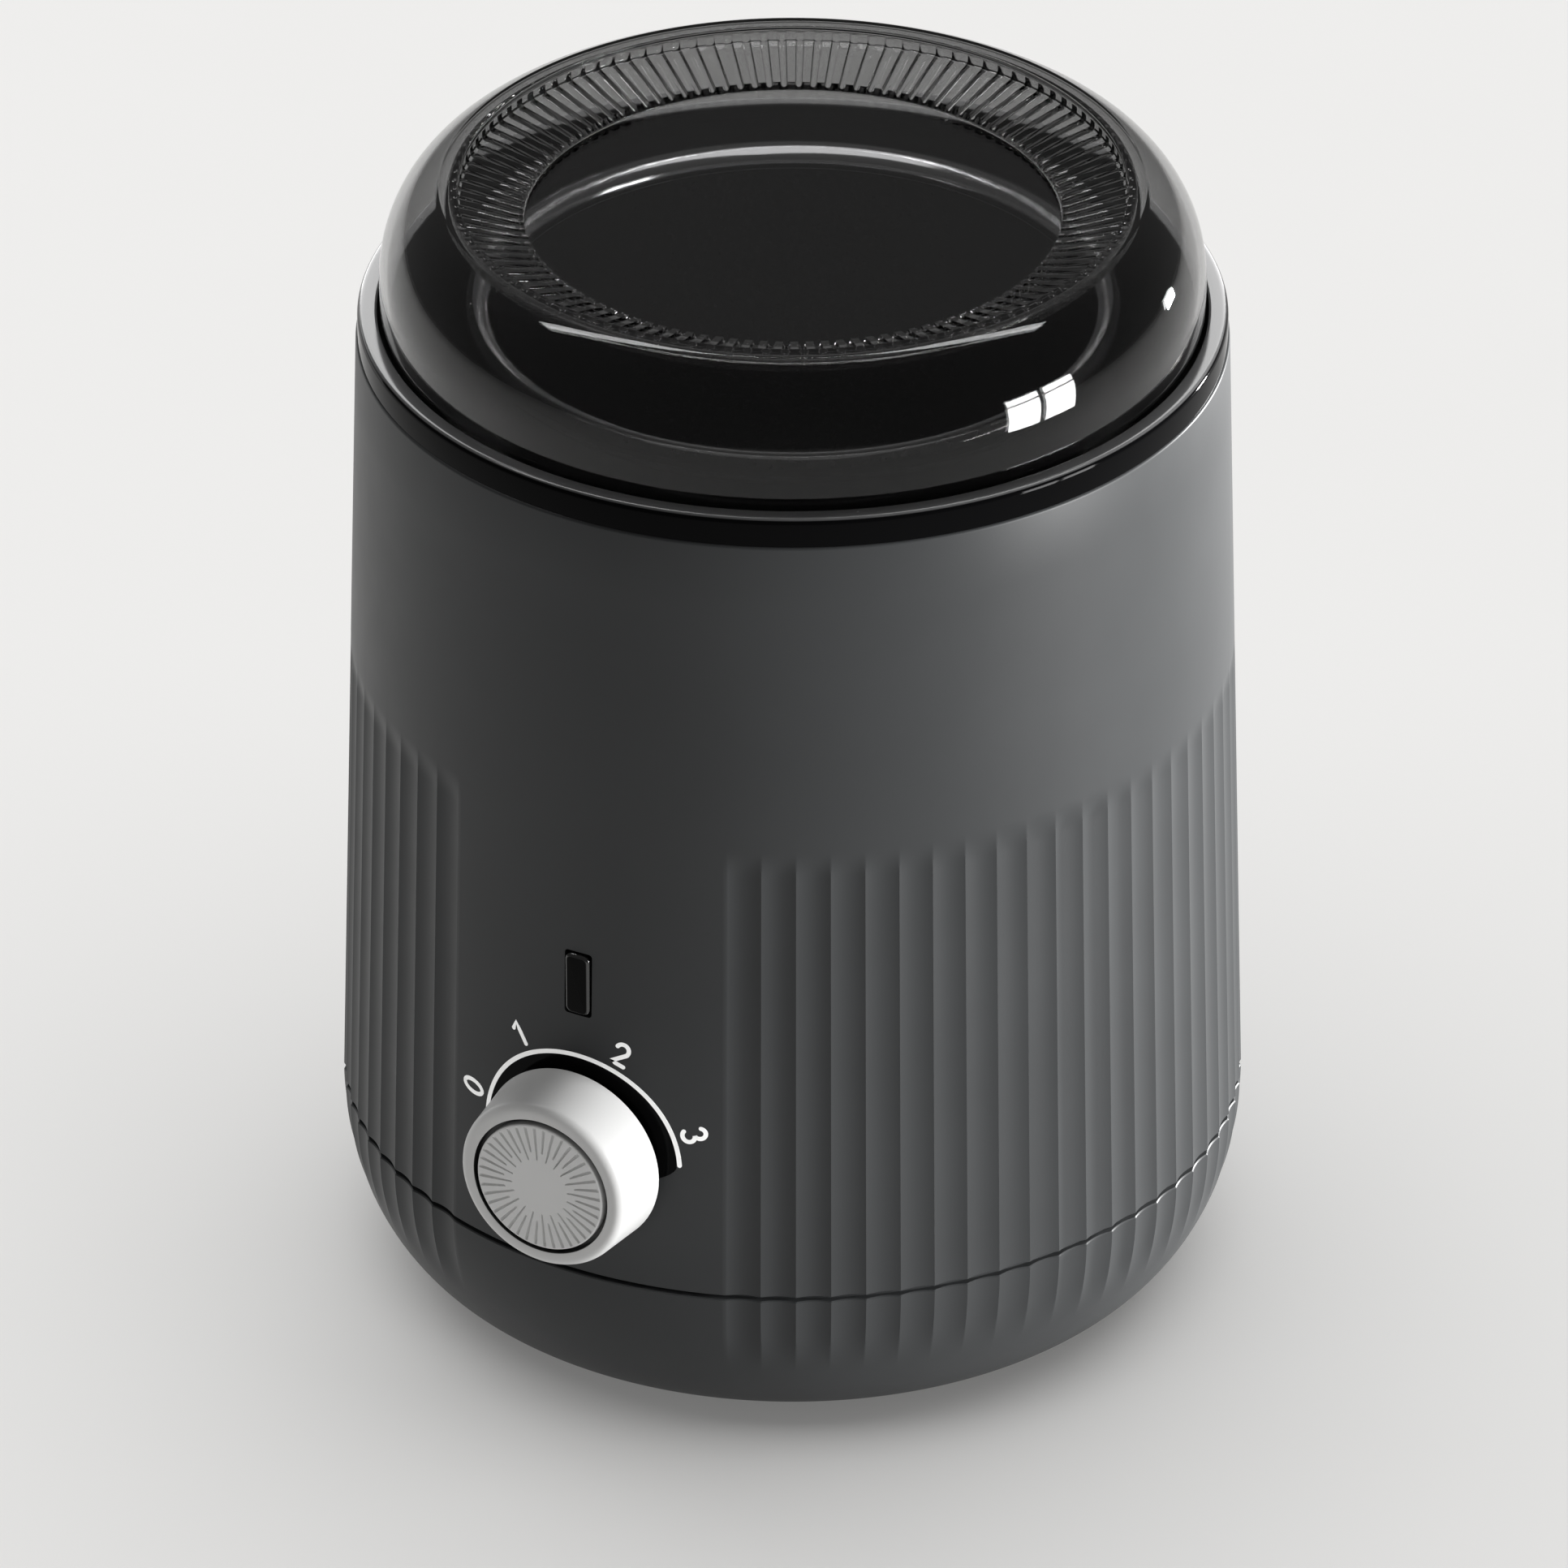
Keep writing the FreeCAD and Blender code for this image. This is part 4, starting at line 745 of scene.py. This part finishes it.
def base_r(z):
    """Radius of the base's bowl, a quarter ellipse below the seam."""
    drop = (BASE_TOP - z) / (BASE_TOP - BASE_LOW.z)
    return SEAM_R - BASE_TUCK * (1 - math.sqrt(max(0.0, 1 - drop * drop)))


def fade(share):
    """Smooth rise from 0 to 1."""
    share = min(1.0, max(0.0, share))
    return share * share * (3 - 2 * share)


def flute_columns():
    """Angle and depth share of each column: hollow flutes, then the plain panel."""
    columns = []
    for i in range(FLUTE_PITCHES - PANEL_PITCHES):
        for cut in FLUTE_CUTS:
            columns.append((PANEL_ANGLE / 2 + (i + cut) * PITCH, 1 - (2 * cut - 1) ** 2))
    for k in range(PANEL_PITCHES * PANEL_CUTS):
        columns.append((-PANEL_ANGLE / 2 + k * PITCH / PANEL_CUTS, 0.0))
    return columns


def flute_ring(radius, depth, z):
    """Ring of the casing with flutes of a depth."""
    return [place(radius - depth * share, a, z) for a, share in flute_columns()]


def flute_depth(z):
    """Depth of the flutes at a height, fading at both ends."""
    top = fade((FLUTE_TOP - z) / FLUTE_TOP_FADE)
    foot = fade((z - FLUTE_FOOT) / FLUTE_FOOT_FADE)
    return FLUTE_DEPTH * min(top, foot)


def rows_between(low, high, count):
    """Evenly spaced values with both ends."""
    return [low + (high - low) * i / count for i in range(count + 1)]


def make_body():
    """Fluted shell, with its holes for the window, the dial and the inlet."""
    fade_low = FLUTE_TOP - FLUTE_TOP_FADE
    heights = rows_between(BODY_FOOT + SEAM_EDGE, fade_low, WALL_ROWS)
    heights += rows_between(fade_low, FLUTE_TOP, FADE_ROWS)[1:]
    heights += rows_between(FLUTE_TOP, RIM_Z - BODY_RIM_ROUND, WALL_ROWS)[1:]
    rings = [flute_ring(body_r(BODY_FOOT) - SEAM_EDGE, FLUTE_DEPTH, BODY_FOOT)]
    rings += [flute_ring(body_r(z), flute_depth(z), z) for z in heights]
    rim_r = body_r(RIM_Z)
    for cos, sin in quarter(1):
        radius = rim_r - BODY_RIM_ROUND * (1 - cos)
        rings.append(flute_ring(radius, 0.0, RIM_Z - BODY_RIM_ROUND * (1 - sin)))
    rings.append(flute_ring(rim_r - CASE_WALL, 0.0, RIM_Z))
    rings.append(flute_ring(body_r(BODY_FOOT) - CASE_WALL, 0.0, BODY_FOOT))
    body = new_mesh("casing_body", *skin(rings, True))
    slot_w = LENS_W + 2 * HOLE_FIT
    slot_h = LENS_H + 2 * HOLE_FIT
    flange_w = INLET_HIGH.x - INLET_LOW.x + 2 * HOLE_FIT
    flange_h = INLET_HIGH.z - INLET_LOW.z + 2 * HOLE_FIT
    beyond = SEAM_R + CUT_OUTSIDE
    inside = SEAM_R - CUT_INSIDE
    spot = body_r(KNOB_Z) - NUT_SPOT_DEPTH
    cut_away(body, [prism("slot", slot_w, slot_h, LENS_SLOT_ROUND, inside, beyond, LENS_Z),
                    prism("rear_slot", flange_w, flange_h, INLET_ROUND, inside, beyond, INLET_Z, False),
                    drum("bush_hole", BUSH_HOLE_R, inside, beyond, to_front),
                    drum("nut_spot", NUT_SPOT_R, spot, beyond, to_front)])
    soften(body)
    settle(body, FINISHES["charcoal"], "casing", "charcoal", "body_shell")


def make_base():
    """Fluted bowl with the lip that fits in the body, and pockets for feet and screws."""
    low = BASE_LOW.z
    rings = [[place(0, 0, low)], flute_ring(base_r(low) * BOTTOM_RING, 0.0, low)]
    for i in range(BOWL_ROWS):
        turn = math.pi / 2 * (1 - i / BOWL_ROWS)
        z = BASE_TOP - (BASE_TOP - low) * math.sin(turn)
        if z < BASE_TOP - SEAM_EDGE:
            rings.append(flute_ring(base_r(z), flute_depth(z), z))
    rings.append(flute_ring(base_r(BASE_TOP - SEAM_EDGE), FLUTE_DEPTH, BASE_TOP - SEAM_EDGE))
    rings.append(flute_ring(SEAM_R - SEAM_EDGE, FLUTE_DEPTH, BASE_TOP))
    lip_out = body_r(BODY_FOOT) - CASE_WALL - SPIGOT_FIT
    lip_in = lip_out - SPIGOT_WALL
    lip_top = BODY_FOOT + SPIGOT_H
    inner = [(SEAM_R - SEAM_DEPTH, BASE_TOP), (SEAM_R - SEAM_DEPTH, BODY_FOOT), (lip_out, BODY_FOOT),
             (lip_out - BODY_DRAFT * SPIGOT_H, lip_top), (lip_in, lip_top)]
    floor_z = low + CASE_WALL
    for i in range(BASE_ROWS):
        turn = math.pi / 2 * i / BASE_ROWS
        z = BASE_TOP - (BASE_TOP - floor_z) * math.sin(turn)
        inner.append((min(lip_in, base_r(low) + (BASE_TUCK - CASE_WALL) * math.cos(turn)), z))
    inner.append((base_r(low), floor_z))
    rings += [flute_ring(radius, 0.0, z) for radius, z in inner]
    rings.append([place(0, 0, floor_z)])
    base = new_mesh("casing_base", *skin(rings))
    cutters = []
    for angle in evenly(FOOT_COUNT):
        foot = upright_at(place(FOOT_CIRCLE, angle, 0))
        cutters.append(drum("foot_pocket", FOOT_R + HOLE_FIT, -CUT_BELOW, FOOT_TOP, foot))
        well = upright_at(place(SCREW_CIRCLE, angle + 180 / FOOT_COUNT, 0))
        cutters.append(drum("screw_well", SCREW_WELL_R, -CUT_BELOW, low + SCREW_WELL_DEPTH, well))
    cut_away(base, cutters)
    soften(base)
    settle(base, FINISHES["charcoal"], "casing", "charcoal", "base_shell")


# Deck, pot and lid

def make_deck():
    """Collar, seat of the lid, and the lip and skirt round the pot's hole."""
    collar_r = DECK_SEAT_R - DECK_COLLAR
    hole_r = POT_HIGH.x - POT_ROLL + POT_HOLE_GAP
    lip_r = hole_r + DECK_LIP
    lip_z = DECK_Z + DECK_LIP_H
    skirt_r = hole_r + DECK_SKIRT_T
    under = DECK_Z - DECK_T
    skirt_z = under - DECK_SKIRT_H
    outline = rounded([(collar_r, RIM_Z), (DECK_R, RIM_Z), (DECK_R, DECK_TOP, DECK_EDGE_ROUND),
                       (DECK_SEAT_R, DECK_TOP, DECK_LAND_ROUND), (DECK_SEAT_R, DECK_Z, DECK_SEAT_ROUND),
                       (lip_r, DECK_Z), (lip_r, lip_z, DECK_LIP_ROUND), (hole_r, lip_z, DECK_LIP_ROUND),
                       (hole_r, skirt_z), (skirt_r, skirt_z), (skirt_r, under), (collar_r, under)])
    deck = new_mesh("deck", *skin(lathe(outline), True))
    soften(deck)
    settle(deck, FINISHES["gloss_black"], "casing", "gloss_black", "deck_ring")


def make_pot():
    """Pot with a rolled rim."""
    rim_r = POT_HIGH.x
    top = POT_HIGH.z
    low = POT_LOW.z
    wall_r = rim_r - POT_ROLL
    foot_r = wall_r - POT_DRAFT * (top - POT_RIM_H - low)
    floor_z = low + POT_WALL
    rim_z = top - POT_RIM_H
    outline = rounded([(0, low), (foot_r, low, POT_ROUND), (wall_r, rim_z), (rim_r, rim_z, POT_RIM_FOOT),
                       (rim_r, top, POT_RIM_ROUND), (wall_r - POT_WALL, top, POT_MOUTH_ROUND),
                       (foot_r - POT_WALL, floor_z, POT_ROUND - POT_WALL), (0, floor_z)])
    pot = new_mesh("pot", *skin(lathe(outline)))
    soften(pot)
    settle(pot, FINISHES["nonstick"], "pot", "nonstick", "inner_pot")


def rib_columns():
    """Angle and groove share of each column of the lid: flat crests and round grooves."""
    columns = []
    for i in range(RIB_COUNT):
        for cut in RIB_CUTS:
            off = (cut - 0.5) / RIB_GROOVE
            columns.append(((i + cut) * 360.0 / RIB_COUNT, math.sqrt(max(0.0, 1 - off * off))))
    return columns


def rib_path(well_r, ring_z):
    """Ribbed ring from the lip's face inwards: radius, height, groove direction and depth."""
    arch_z = LID_TOP - RIB_ARCH
    path = []
    for cos, sin in quarter():
        path.append((well_r, arch_z - RIB_ARCH_ROUND * (1 - cos), (1, 0), RIB_DEPTH * sin))
    for cos, sin in quarter():
        radius = well_r - RIB_FILLET * (1 - cos)
        z = ring_z + RIB_FILLET * (1 - sin)
        path.append((radius, z, (cos, -sin), RIB_DEPTH))
    run = RIB_RING - RIB_FILLET
    for k in range(1, RIB_ROWS + 1):
        share = k / RIB_ROWS
        radius = well_r - RIB_FILLET - run * share
        depth = RIB_DEPTH + (RIB_FOOT_DEPTH - RIB_DEPTH) * share
        path.append((radius, ring_z - RIB_RING_DROP * share, (0, -1), depth))
    return path


def shoulder(wide, tall, foot_r, foot_z):
    """Rising quarter of an ellipse, stopped where it meets the land."""
    spots = []
    for i in range(SHOULDER_ROWS + 1):
        turn = math.radians(SHOULDER_END) * i / SHOULDER_ROWS
        spots.append((foot_r - wide * (1 - math.cos(turn)), foot_z + tall * math.sin(turn)))
    return spots


def make_lid():
    """Clear shell with a ribbed ring and a flat disc sunk in its top."""
    columns = rib_columns()
    well_r = LID_R - LID_WELL
    land_r = well_r + LID_LAND
    shoulder_z = LID_TOP - LID_SHOULDER_H
    ring_z = LID_TOP - LID_LIP_DROP
    inner_r = well_r - RIB_RING
    floor_z = ring_z - RIB_RING_DROP - FLOOR_STEP
    inside_r = LID_R - LID_WALL
    end = math.radians(SHOULDER_END)
    wide = (LID_R - land_r) / (1 - math.cos(end))
    tall = LID_SHOULDER_H / math.sin(end)

    def ring(radius, z):
        return [place(radius, a, z) for a, share in columns]

    foot = rounded([(inside_r, LID_FOOT, LID_FOOT_ROUND), (LID_R, LID_FOOT, LID_FOOT_ROUND),
                    (LID_R, shoulder_z), (inside_r, shoulder_z)])[:-2]
    rise = shoulder(wide, tall, LID_R, shoulder_z)
    crown = rounded([rise[-2], (land_r, LID_TOP, LID_EDGE_ROUND), (well_r, LID_TOP, LID_LIP_ROUND),
                     (well_r, ring_z), (land_r, ring_z)])[1:-2]
    rings = [ring(radius, z) for radius, z in foot + rise[:-1] + braced(crown)]
    for radius, z, side, depth in rib_path(well_r, ring_z):
        rings.append([place(radius + side[0] * depth * share, a, z + side[1] * depth * share)
                      for a, share in columns])
    for cos, sin in quarter():
        rings.append(ring(inner_r - FLOOR_ROUND * (1 - cos), floor_z + FLOOR_ROUND * (1 - sin)))
    rings.append(ring(inner_r - FLOOR_ROUND - BRACE, floor_z))
    rings.append([place(0, 0, floor_z)])
    rings.append([place(0, 0, floor_z - FLOOR_T)])
    rings.append(ring(inner_r + FLOOR_T - BRACE, floor_z - FLOOR_T))
    hollow_r = well_r + LID_WALL
    inside = shoulder(wide - LID_WALL, tall - LID_WALL, inside_r, shoulder_z)[::-1]
    under = rounded([(inner_r + FLOOR_T, floor_z - FLOOR_T), (hollow_r, ring_z - LID_WALL, HOLLOW_ROUND),
                     (hollow_r, LID_TOP - LID_WALL, HOLLOW_ROUND), inside[0]])
    rings += [ring(radius, z) for radius, z in braced(under) + inside[1:]]
    lid = new_mesh("clear_lid", *skin(rings, True))
    soften(lid, LID_CREASE)
    settle(lid, FINISHES["smoked_clear"], "lid_body", "smoked_clear", "lid")


# Dial

def make_knob():
    """Tapered knob with a well for its cap."""
    back = -KNOB_HIGH.y
    face = -KNOB_LOW.y
    cap_back = -CAP_HIGH.y
    web = cap_back - KNOB_WALL
    well_r = CAP_R + CAP_FIT
    outline = rounded([(0, web), (KNOB_FRONT_R - KNOB_WALL, web), (KNOB_HIGH.x - KNOB_WALL, back),
                       (KNOB_HIGH.x, back, KNOB_BACK_ROUND), (KNOB_FRONT_R, face, KNOB_ROUND),
                       (well_r, face, KNOB_WELL_ROUND), (well_r, cap_back), (0, cap_back)])
    knob = new_mesh("dial_knob", *skin(lathe(outline, put=to_front)))
    soften(knob)
    settle(knob, FINISHES["silver"], "dial", "silver", "knob")


def cap_columns():
    """Angle, groove share and start of the line of each column of the cap."""
    line = [(0.5 + off * CAP_LINE_SHARE, share) for off, share in CAP_LINE_CUTS]
    cuts = [(0.0, 0.0), (0.25, 0.0)] + line + [(0.75, 0.0)]
    columns = []
    pitch = 360.0 / CAP_LINES
    for i in range(CAP_LINES):
        start = CAP_LINE_SHORT if i % 2 else CAP_LINE_LONG
        columns += [((i + cut) * pitch, share, start) for cut, share in cuts]
    return columns


def make_cap():
    """Flat cap with fine lines cut towards its middle."""
    columns = cap_columns()
    back = -CAP_HIGH.y
    face = -CAP_LOW.y

    def ring(radius, along):
        points = []
        for a, share, start in columns:
            reach = fade((radius - start) / CAP_LINE_FADE) * fade((CAP_LINE_END - radius) / CAP_LINE_FADE)
            points.append(to_front(radius, a, along - CAP_LINE_DEPTH * share * reach))
        return points

    edge_r = CAP_R - CAP_GAP
    radii = rows_between(CAP_MIDDLE, edge_r - CAP_ROUND, CAP_ROWS)
    rings = [[to_front(0, 0, face)]] + [ring(radius, face) for radius in radii]
    for cos, sin in quarter(1):
        rings.append(ring(edge_r - CAP_ROUND * (1 - sin), face - CAP_ROUND * (1 - cos)))
    rings.append(ring(edge_r, back))
    rings.append([to_front(0, 0, back)])
    cap = new_mesh("dial_cap", *skin(rings))
    soften(cap)
    settle(cap, FINISHES["cap_grey"], "dial", "cap_grey", "knob_cap")


def make_lens():
    """Smoked window with rounded edges, standing a little proud of its slot."""
    half_w = LENS_W / 2
    half_h = LENS_H / 2
    face = body_r(LENS_Z) + LENS_PROUD
    rings = []
    for cos, sin in quarter():
        inset = LENS_EDGE * (1 - cos)
        along = face - LENS_EDGE * (1 - sin)
        w = half_w - inset
        h = half_h - inset
        corner = LENS_CORNER - inset
        outline = rounded([(-w, -h, corner), (w, -h, corner), (w, h, corner), (-w, h, corner)])
        rings.append([Vector((x, -along, LENS_Z + z)) for x, z in outline])
    back = [Vector((p.x, LENS_HIGH.y, p.z)) for p in rings[0]]
    rings = [[Vector((0, LENS_HIGH.y, LENS_Z))], back] + rings + [[Vector((0, -face, LENS_Z))]]
    lens = new_mesh("lamp_window", *skin(rings))
    soften(lens)
    settle(lens, FINISHES["lens_smoke"], "casing", "lens_smoke", "indicator_lens")


def on_panel(x, y, lift):
    """Point printed on the front panel, from across and up distances about the dial's axis."""
    z = KNOB_Z + y
    radius = body_r(z)
    return place(radius + lift, math.degrees(x / radius), z)


def stroke(path, width):
    """Points and faces of a printed line with round ends along a path on the panel."""
    path = [Vector(p) for p in path]
    steps = []
    for i, here in enumerate(path):
        ahead = path[min(i + 1, len(path) - 1)] - path[max(i - 1, 0)]
        steps.append((here, ahead.normalized(), width / 2))
    start, start_way, half = steps[0]
    end, end_way, half = steps[-1]
    caps = [(half * sin, max(half * cos, PRINT_TIP)) for cos, sin in quarter(1)]
    steps = [(start - start_way * out, start_way, wide) for out, wide in caps[::-1]] + steps
    steps += [(end + end_way * out, end_way, wide) for out, wide in caps]
    rings = []
    for here, way, wide in steps:
        side = Vector((-way.y, way.x)) * wide
        left = here + side
        right = here - side
        rings.append([on_panel(left.x, left.y, PRINT_LIFT), on_panel(right.x, right.y, PRINT_LIFT),
                      on_panel(right.x, right.y, -PRINT_SINK), on_panel(left.x, left.y, -PRINT_SINK)])
    middle = [sum(r, Vector()) / 4 for r in (rings[0], rings[-1])]
    return skin([[middle[0]]] + rings + [[middle[1]]])


def spoke(degrees):
    """Direction at an angle about the dial's axis."""
    a = math.radians(degrees)
    return Vector((math.cos(a), math.sin(a)))


def arc(x, y, wide, tall, first, last, steps=CURVE_STEPS):
    """Points of an elliptical arc between two angles."""
    points = []
    for i in range(steps + 1):
        a = math.radians(first + (last - first) * i / steps)
        points.append((x + wide * math.cos(a), y + tall * math.sin(a)))
    return points


def number_paths():
    """Strokes of the numbers 0 to 3, one unit tall about their middle."""
    return [arc(0, 0, 0.27, 0.5, 90, 449),
            [(-0.2, 0.28), (0.06, 0.5), (0.06, 0.15), (0.06, -0.2), (0.06, -0.5)],
            arc(0, 0.22, 0.27, 0.28, 165, -30) + [(-0.27, -0.5), (-0.1, -0.5), (0.3, -0.5)],
            arc(0, 0.25, 0.24, 0.25, 150, -80) + arc(0, -0.24, 0.28, 0.26, 80, -150)]


def print_piece(name, path, width):
    """White printed line."""
    mark = new_mesh(name, *stroke(path, width))
    soften(mark)
    settle(mark, PRINT, "casing", "silver")


def make_dial_ring():
    """Black band between the knob and the scale, whose narrowing tail past the scale is painted shade of
    the knob.
    """
    rings = []
    shade_tail = SCALE_TO - RING_SHADE_TAIL
    for angle in rows_between(shade_tail, SCALE_FROM, ROUND_COLUMNS // 2):
        share = fade((angle - shade_tail + PITCH) / (RING_SHADE_TAIL + PITCH))
        reach = RING_IN + (RING_OUT - RING_IN) * share
        steps = [spoke(angle) * r for r in rows_between(RING_IN, reach, RING_STEPS)]
        face = [on_panel(*p, RING_LIFT) for p in steps]
        rings.append(face + [on_panel(*p, -PRINT_SINK) for p in steps[::-1]])
    ends = [sum(r, Vector()) / len(r) for r in (rings[0], rings[-1])]
    ring = new_mesh("dial_ring", *skin([[ends[0]]] + rings + [[ends[1]]]))
    soften(ring)
    settle(ring, FINISHES["gloss_black"], "casing", "gloss_black")


def make_print():
    """Band, scale and numbers round the knob."""
    make_dial_ring()
    print_piece("dial_scale", arc(0, 0, SCALE_R, SCALE_R, SCALE_FROM, SCALE_TO, SCALE_STEPS), SCALE_W)
    for i, (path, angle) in enumerate(zip(number_paths(), NUMBER_PLACES)):
        turn = Matrix.Rotation(math.radians(angle - 90), 2)
        spots = [spoke(angle) * NUMBER_R + turn @ (Vector(p) * NUMBER_H) for p in path]
        print_piece("dial_number_%d" % i, spots, NUMBER_W)


# Camera, floor and light

CAMERA_AZIMUTH = 28.1
CAMERA_REACH = 1537.2
CAMERA_HEIGHT = 996.0
AIM_Z = 67.3
AIM_LEFT = 1.14
FOCAL_PIXELS = 16734.6
FRAME_PIXELS = 1932.0
SENSOR = 36.0

FLOOR_HALF = 4000.0
FLOOR_COLOUR = (0.655, 0.651, 0.643)
FLOOR_SPREAD = 0.01
FLOOR_PATCH = 400.0
FLOOR_SPECK = 30.0
FLOOR_ROUGH = (0.55, 0.65)
FLOOR_GLOW = 0.15          # lightens the floor's shadow
FLOOR_GLOW_COLOUR = (1.0, 0.994, 0.981, 1)
WORLD_COLOUR = (1.0, 0.995, 0.985, 1)
WORLD_LIGHT = 0.15

# Panels: the side as an angle from the front, the places where each stands and faces as a distance from
# the axis and a height, and the size as width and height
BEHIND = CAMERA_AZIMUTH + 180
PANELS = {
    "overhead": dict(side=BEHIND, stands=(200, 880), faces=(150, 0), size=(1100, 70), radiance=12.0),
    "floor_wash": dict(side=BEHIND, stands=(500, 1500), faces=(300, 0), size=(3000, 3000), radiance=1.7),
    "rear_card": dict(side=BEHIND, stands=(670, 450), faces=(0, DECK_TOP), size=(900, 1000), radiance=4.5),
    "pot_fill": dict(side=0, stands=(0, 700), faces=(0, 0), size=(500, 500), radiance=1.4),
    "print_fill": dict(side=0, stands=(600, 300), faces=(0, KNOB_Z), size=(300, 300), radiance=6.0),
}
# Windows: the angle off the camera, with panes as across, up, width and height
FRONT_PANES = ((-46, -20, 78, 150), (46, -20, 78, 150), (-46, 82, 78, 36), (46, 82, 78, 36))
WINDOWS = {
    "front_window": dict(azimuth=66, reach=470, z=125, panes=FRONT_PANES, radiance=43.0),
    "side_window": dict(azimuth=119, reach=520, z=120, panes=((0, 0, 46, 46),), radiance=860.0),
    "left_card": dict(azimuth=-136, reach=520, z=140, panes=((0, 0, 300, 240),), radiance=1.15),
}


def aim(obj, start, end):
    """Stand an object at a point and turn it to face another."""
    obj.location = start * MM
    obj.rotation_euler = (end - start).to_track_quat("-Z", "Y").to_euler()


def make_camera():
    """Long lens at the photograph's viewing angle."""
    data = bpy.data.cameras.new("camera")
    data.sensor_width = SENSOR
    data.lens = SENSOR * FOCAL_PIXELS / FRAME_PIXELS
    camera = bpy.data.objects.new("camera", data)
    bpy.context.scene.collection.objects.link(camera)
    target = place(AIM_LEFT, CAMERA_AZIMUTH - 90, AIM_Z)
    aim(camera, place(CAMERA_REACH, CAMERA_AZIMUTH, CAMERA_HEIGHT), target)
    bpy.context.scene.camera = camera


def make_floor():
    """Plain pale floor."""
    signs = ((-1, -1), (1, -1), (1, 1), (-1, 1))
    points = [Vector((x, y, 0)) * FLOOR_HALF for x, y in signs]
    floor = new_mesh("floor", points, [[0, 1, 2, 3]])
    look = Finish("floor_pale")
    look.set(Emission_Color=FLOOR_GLOW_COLOUR, Emission_Strength=FLOOR_GLOW)
    look.paint(look.shaded(look.noise(FLOOR_PATCH), FLOOR_COLOUR, FLOOR_SPREAD))
    look.rough(look.noise(FLOOR_SPECK), *FLOOR_ROUGH)
    floor.data.materials.append(look.material)


def light_panel(name, centre, target, width, height, radiance, lit):
    """Area light of a radiance, facing a point, that lights one collection."""
    data = bpy.data.lights.new(name, "AREA")
    data.shape = "RECTANGLE"
    data.size = width * MM
    data.size_y = height * MM
    data.energy = radiance * math.pi * data.size * data.size_y
    lamp = bpy.data.objects.new(name, data)
    bpy.context.scene.collection.objects.link(lamp)
    lamp.light_linking.receiver_collection = lit
    aim(lamp, centre, target)
    return lamp


def panel(name, lit):
    """Panel on one side of the part, facing a point on that side."""
    spec = PANELS[name]
    out, z = spec["stands"]
    face_out, face_z = spec["faces"]
    centre = place(out, spec["side"], z)
    target = place(face_out, spec["side"], face_z)
    return light_panel(name, centre, target, *spec["size"], spec["radiance"], lit)


def window(name, lit):
    """Upright window at an angle off the camera, with a light for each pane."""
    spec = WINDOWS[name]
    towards = CAMERA_AZIMUTH + spec["azimuth"]
    for i, (across, up, width, height) in enumerate(spec["panes"]):
        z = spec["z"] + up
        side = place(across, towards + 90, 0)
        centre = place(spec["reach"], towards, z) + side
        target = side + Vector((0, 0, z))
        light_panel("%s_%d" % (name, i), centre, target, width, height, spec["radiance"], lit)


def only(*names):
    """Collection of some objects, for a light that lights nothing else."""
    group = bpy.data.collections.new("lit_" + names[0])
    for name in names:
        group.objects.link(bpy.data.objects[name])
    return group


def part_collection(*left_out):
    """Everything but the floor and the objects left out."""
    return only(*[obj.name for obj in bpy.context.scene.objects
                  if obj.type == "MESH" and obj.name not in ("floor", *left_out)])


def make_light():
    """Soft studio light: panels and windows, each for the pieces that it is meant for."""
    world = bpy.data.worlds.new("studio")
    bpy.context.scene.world = world
    world.use_nodes = True
    backdrop = world.node_tree.nodes["Background"]
    backdrop.inputs["Color"].default_value = WORLD_COLOUR
    backdrop.inputs["Strength"].default_value = WORLD_LIGHT
    bpy.context.scene.view_settings.view_transform = "Standard"
    part = part_collection()
    panel("overhead", part)
    panel("floor_wash", only("floor"))
    panel("rear_card", only("deck"))
    window("front_window", part)
    window("side_window", part)
    window("left_card", part_collection("clear_lid"))
    pot_fill = panel("pot_fill", only("pot"))
    pot_fill.light_linking.blocker_collection = part_collection("clear_lid")
    names = [obj.name for obj in bpy.context.scene.objects]
    panel("print_fill", only(*[name for name in names if name.startswith(("dial_scale", "dial_number"))]))


dress_nodes()
make_body()
make_base()
make_deck()
make_pot()
make_lid()
make_knob()
make_cap()
make_lens()
make_print()
make_camera()
make_floor()
make_light()
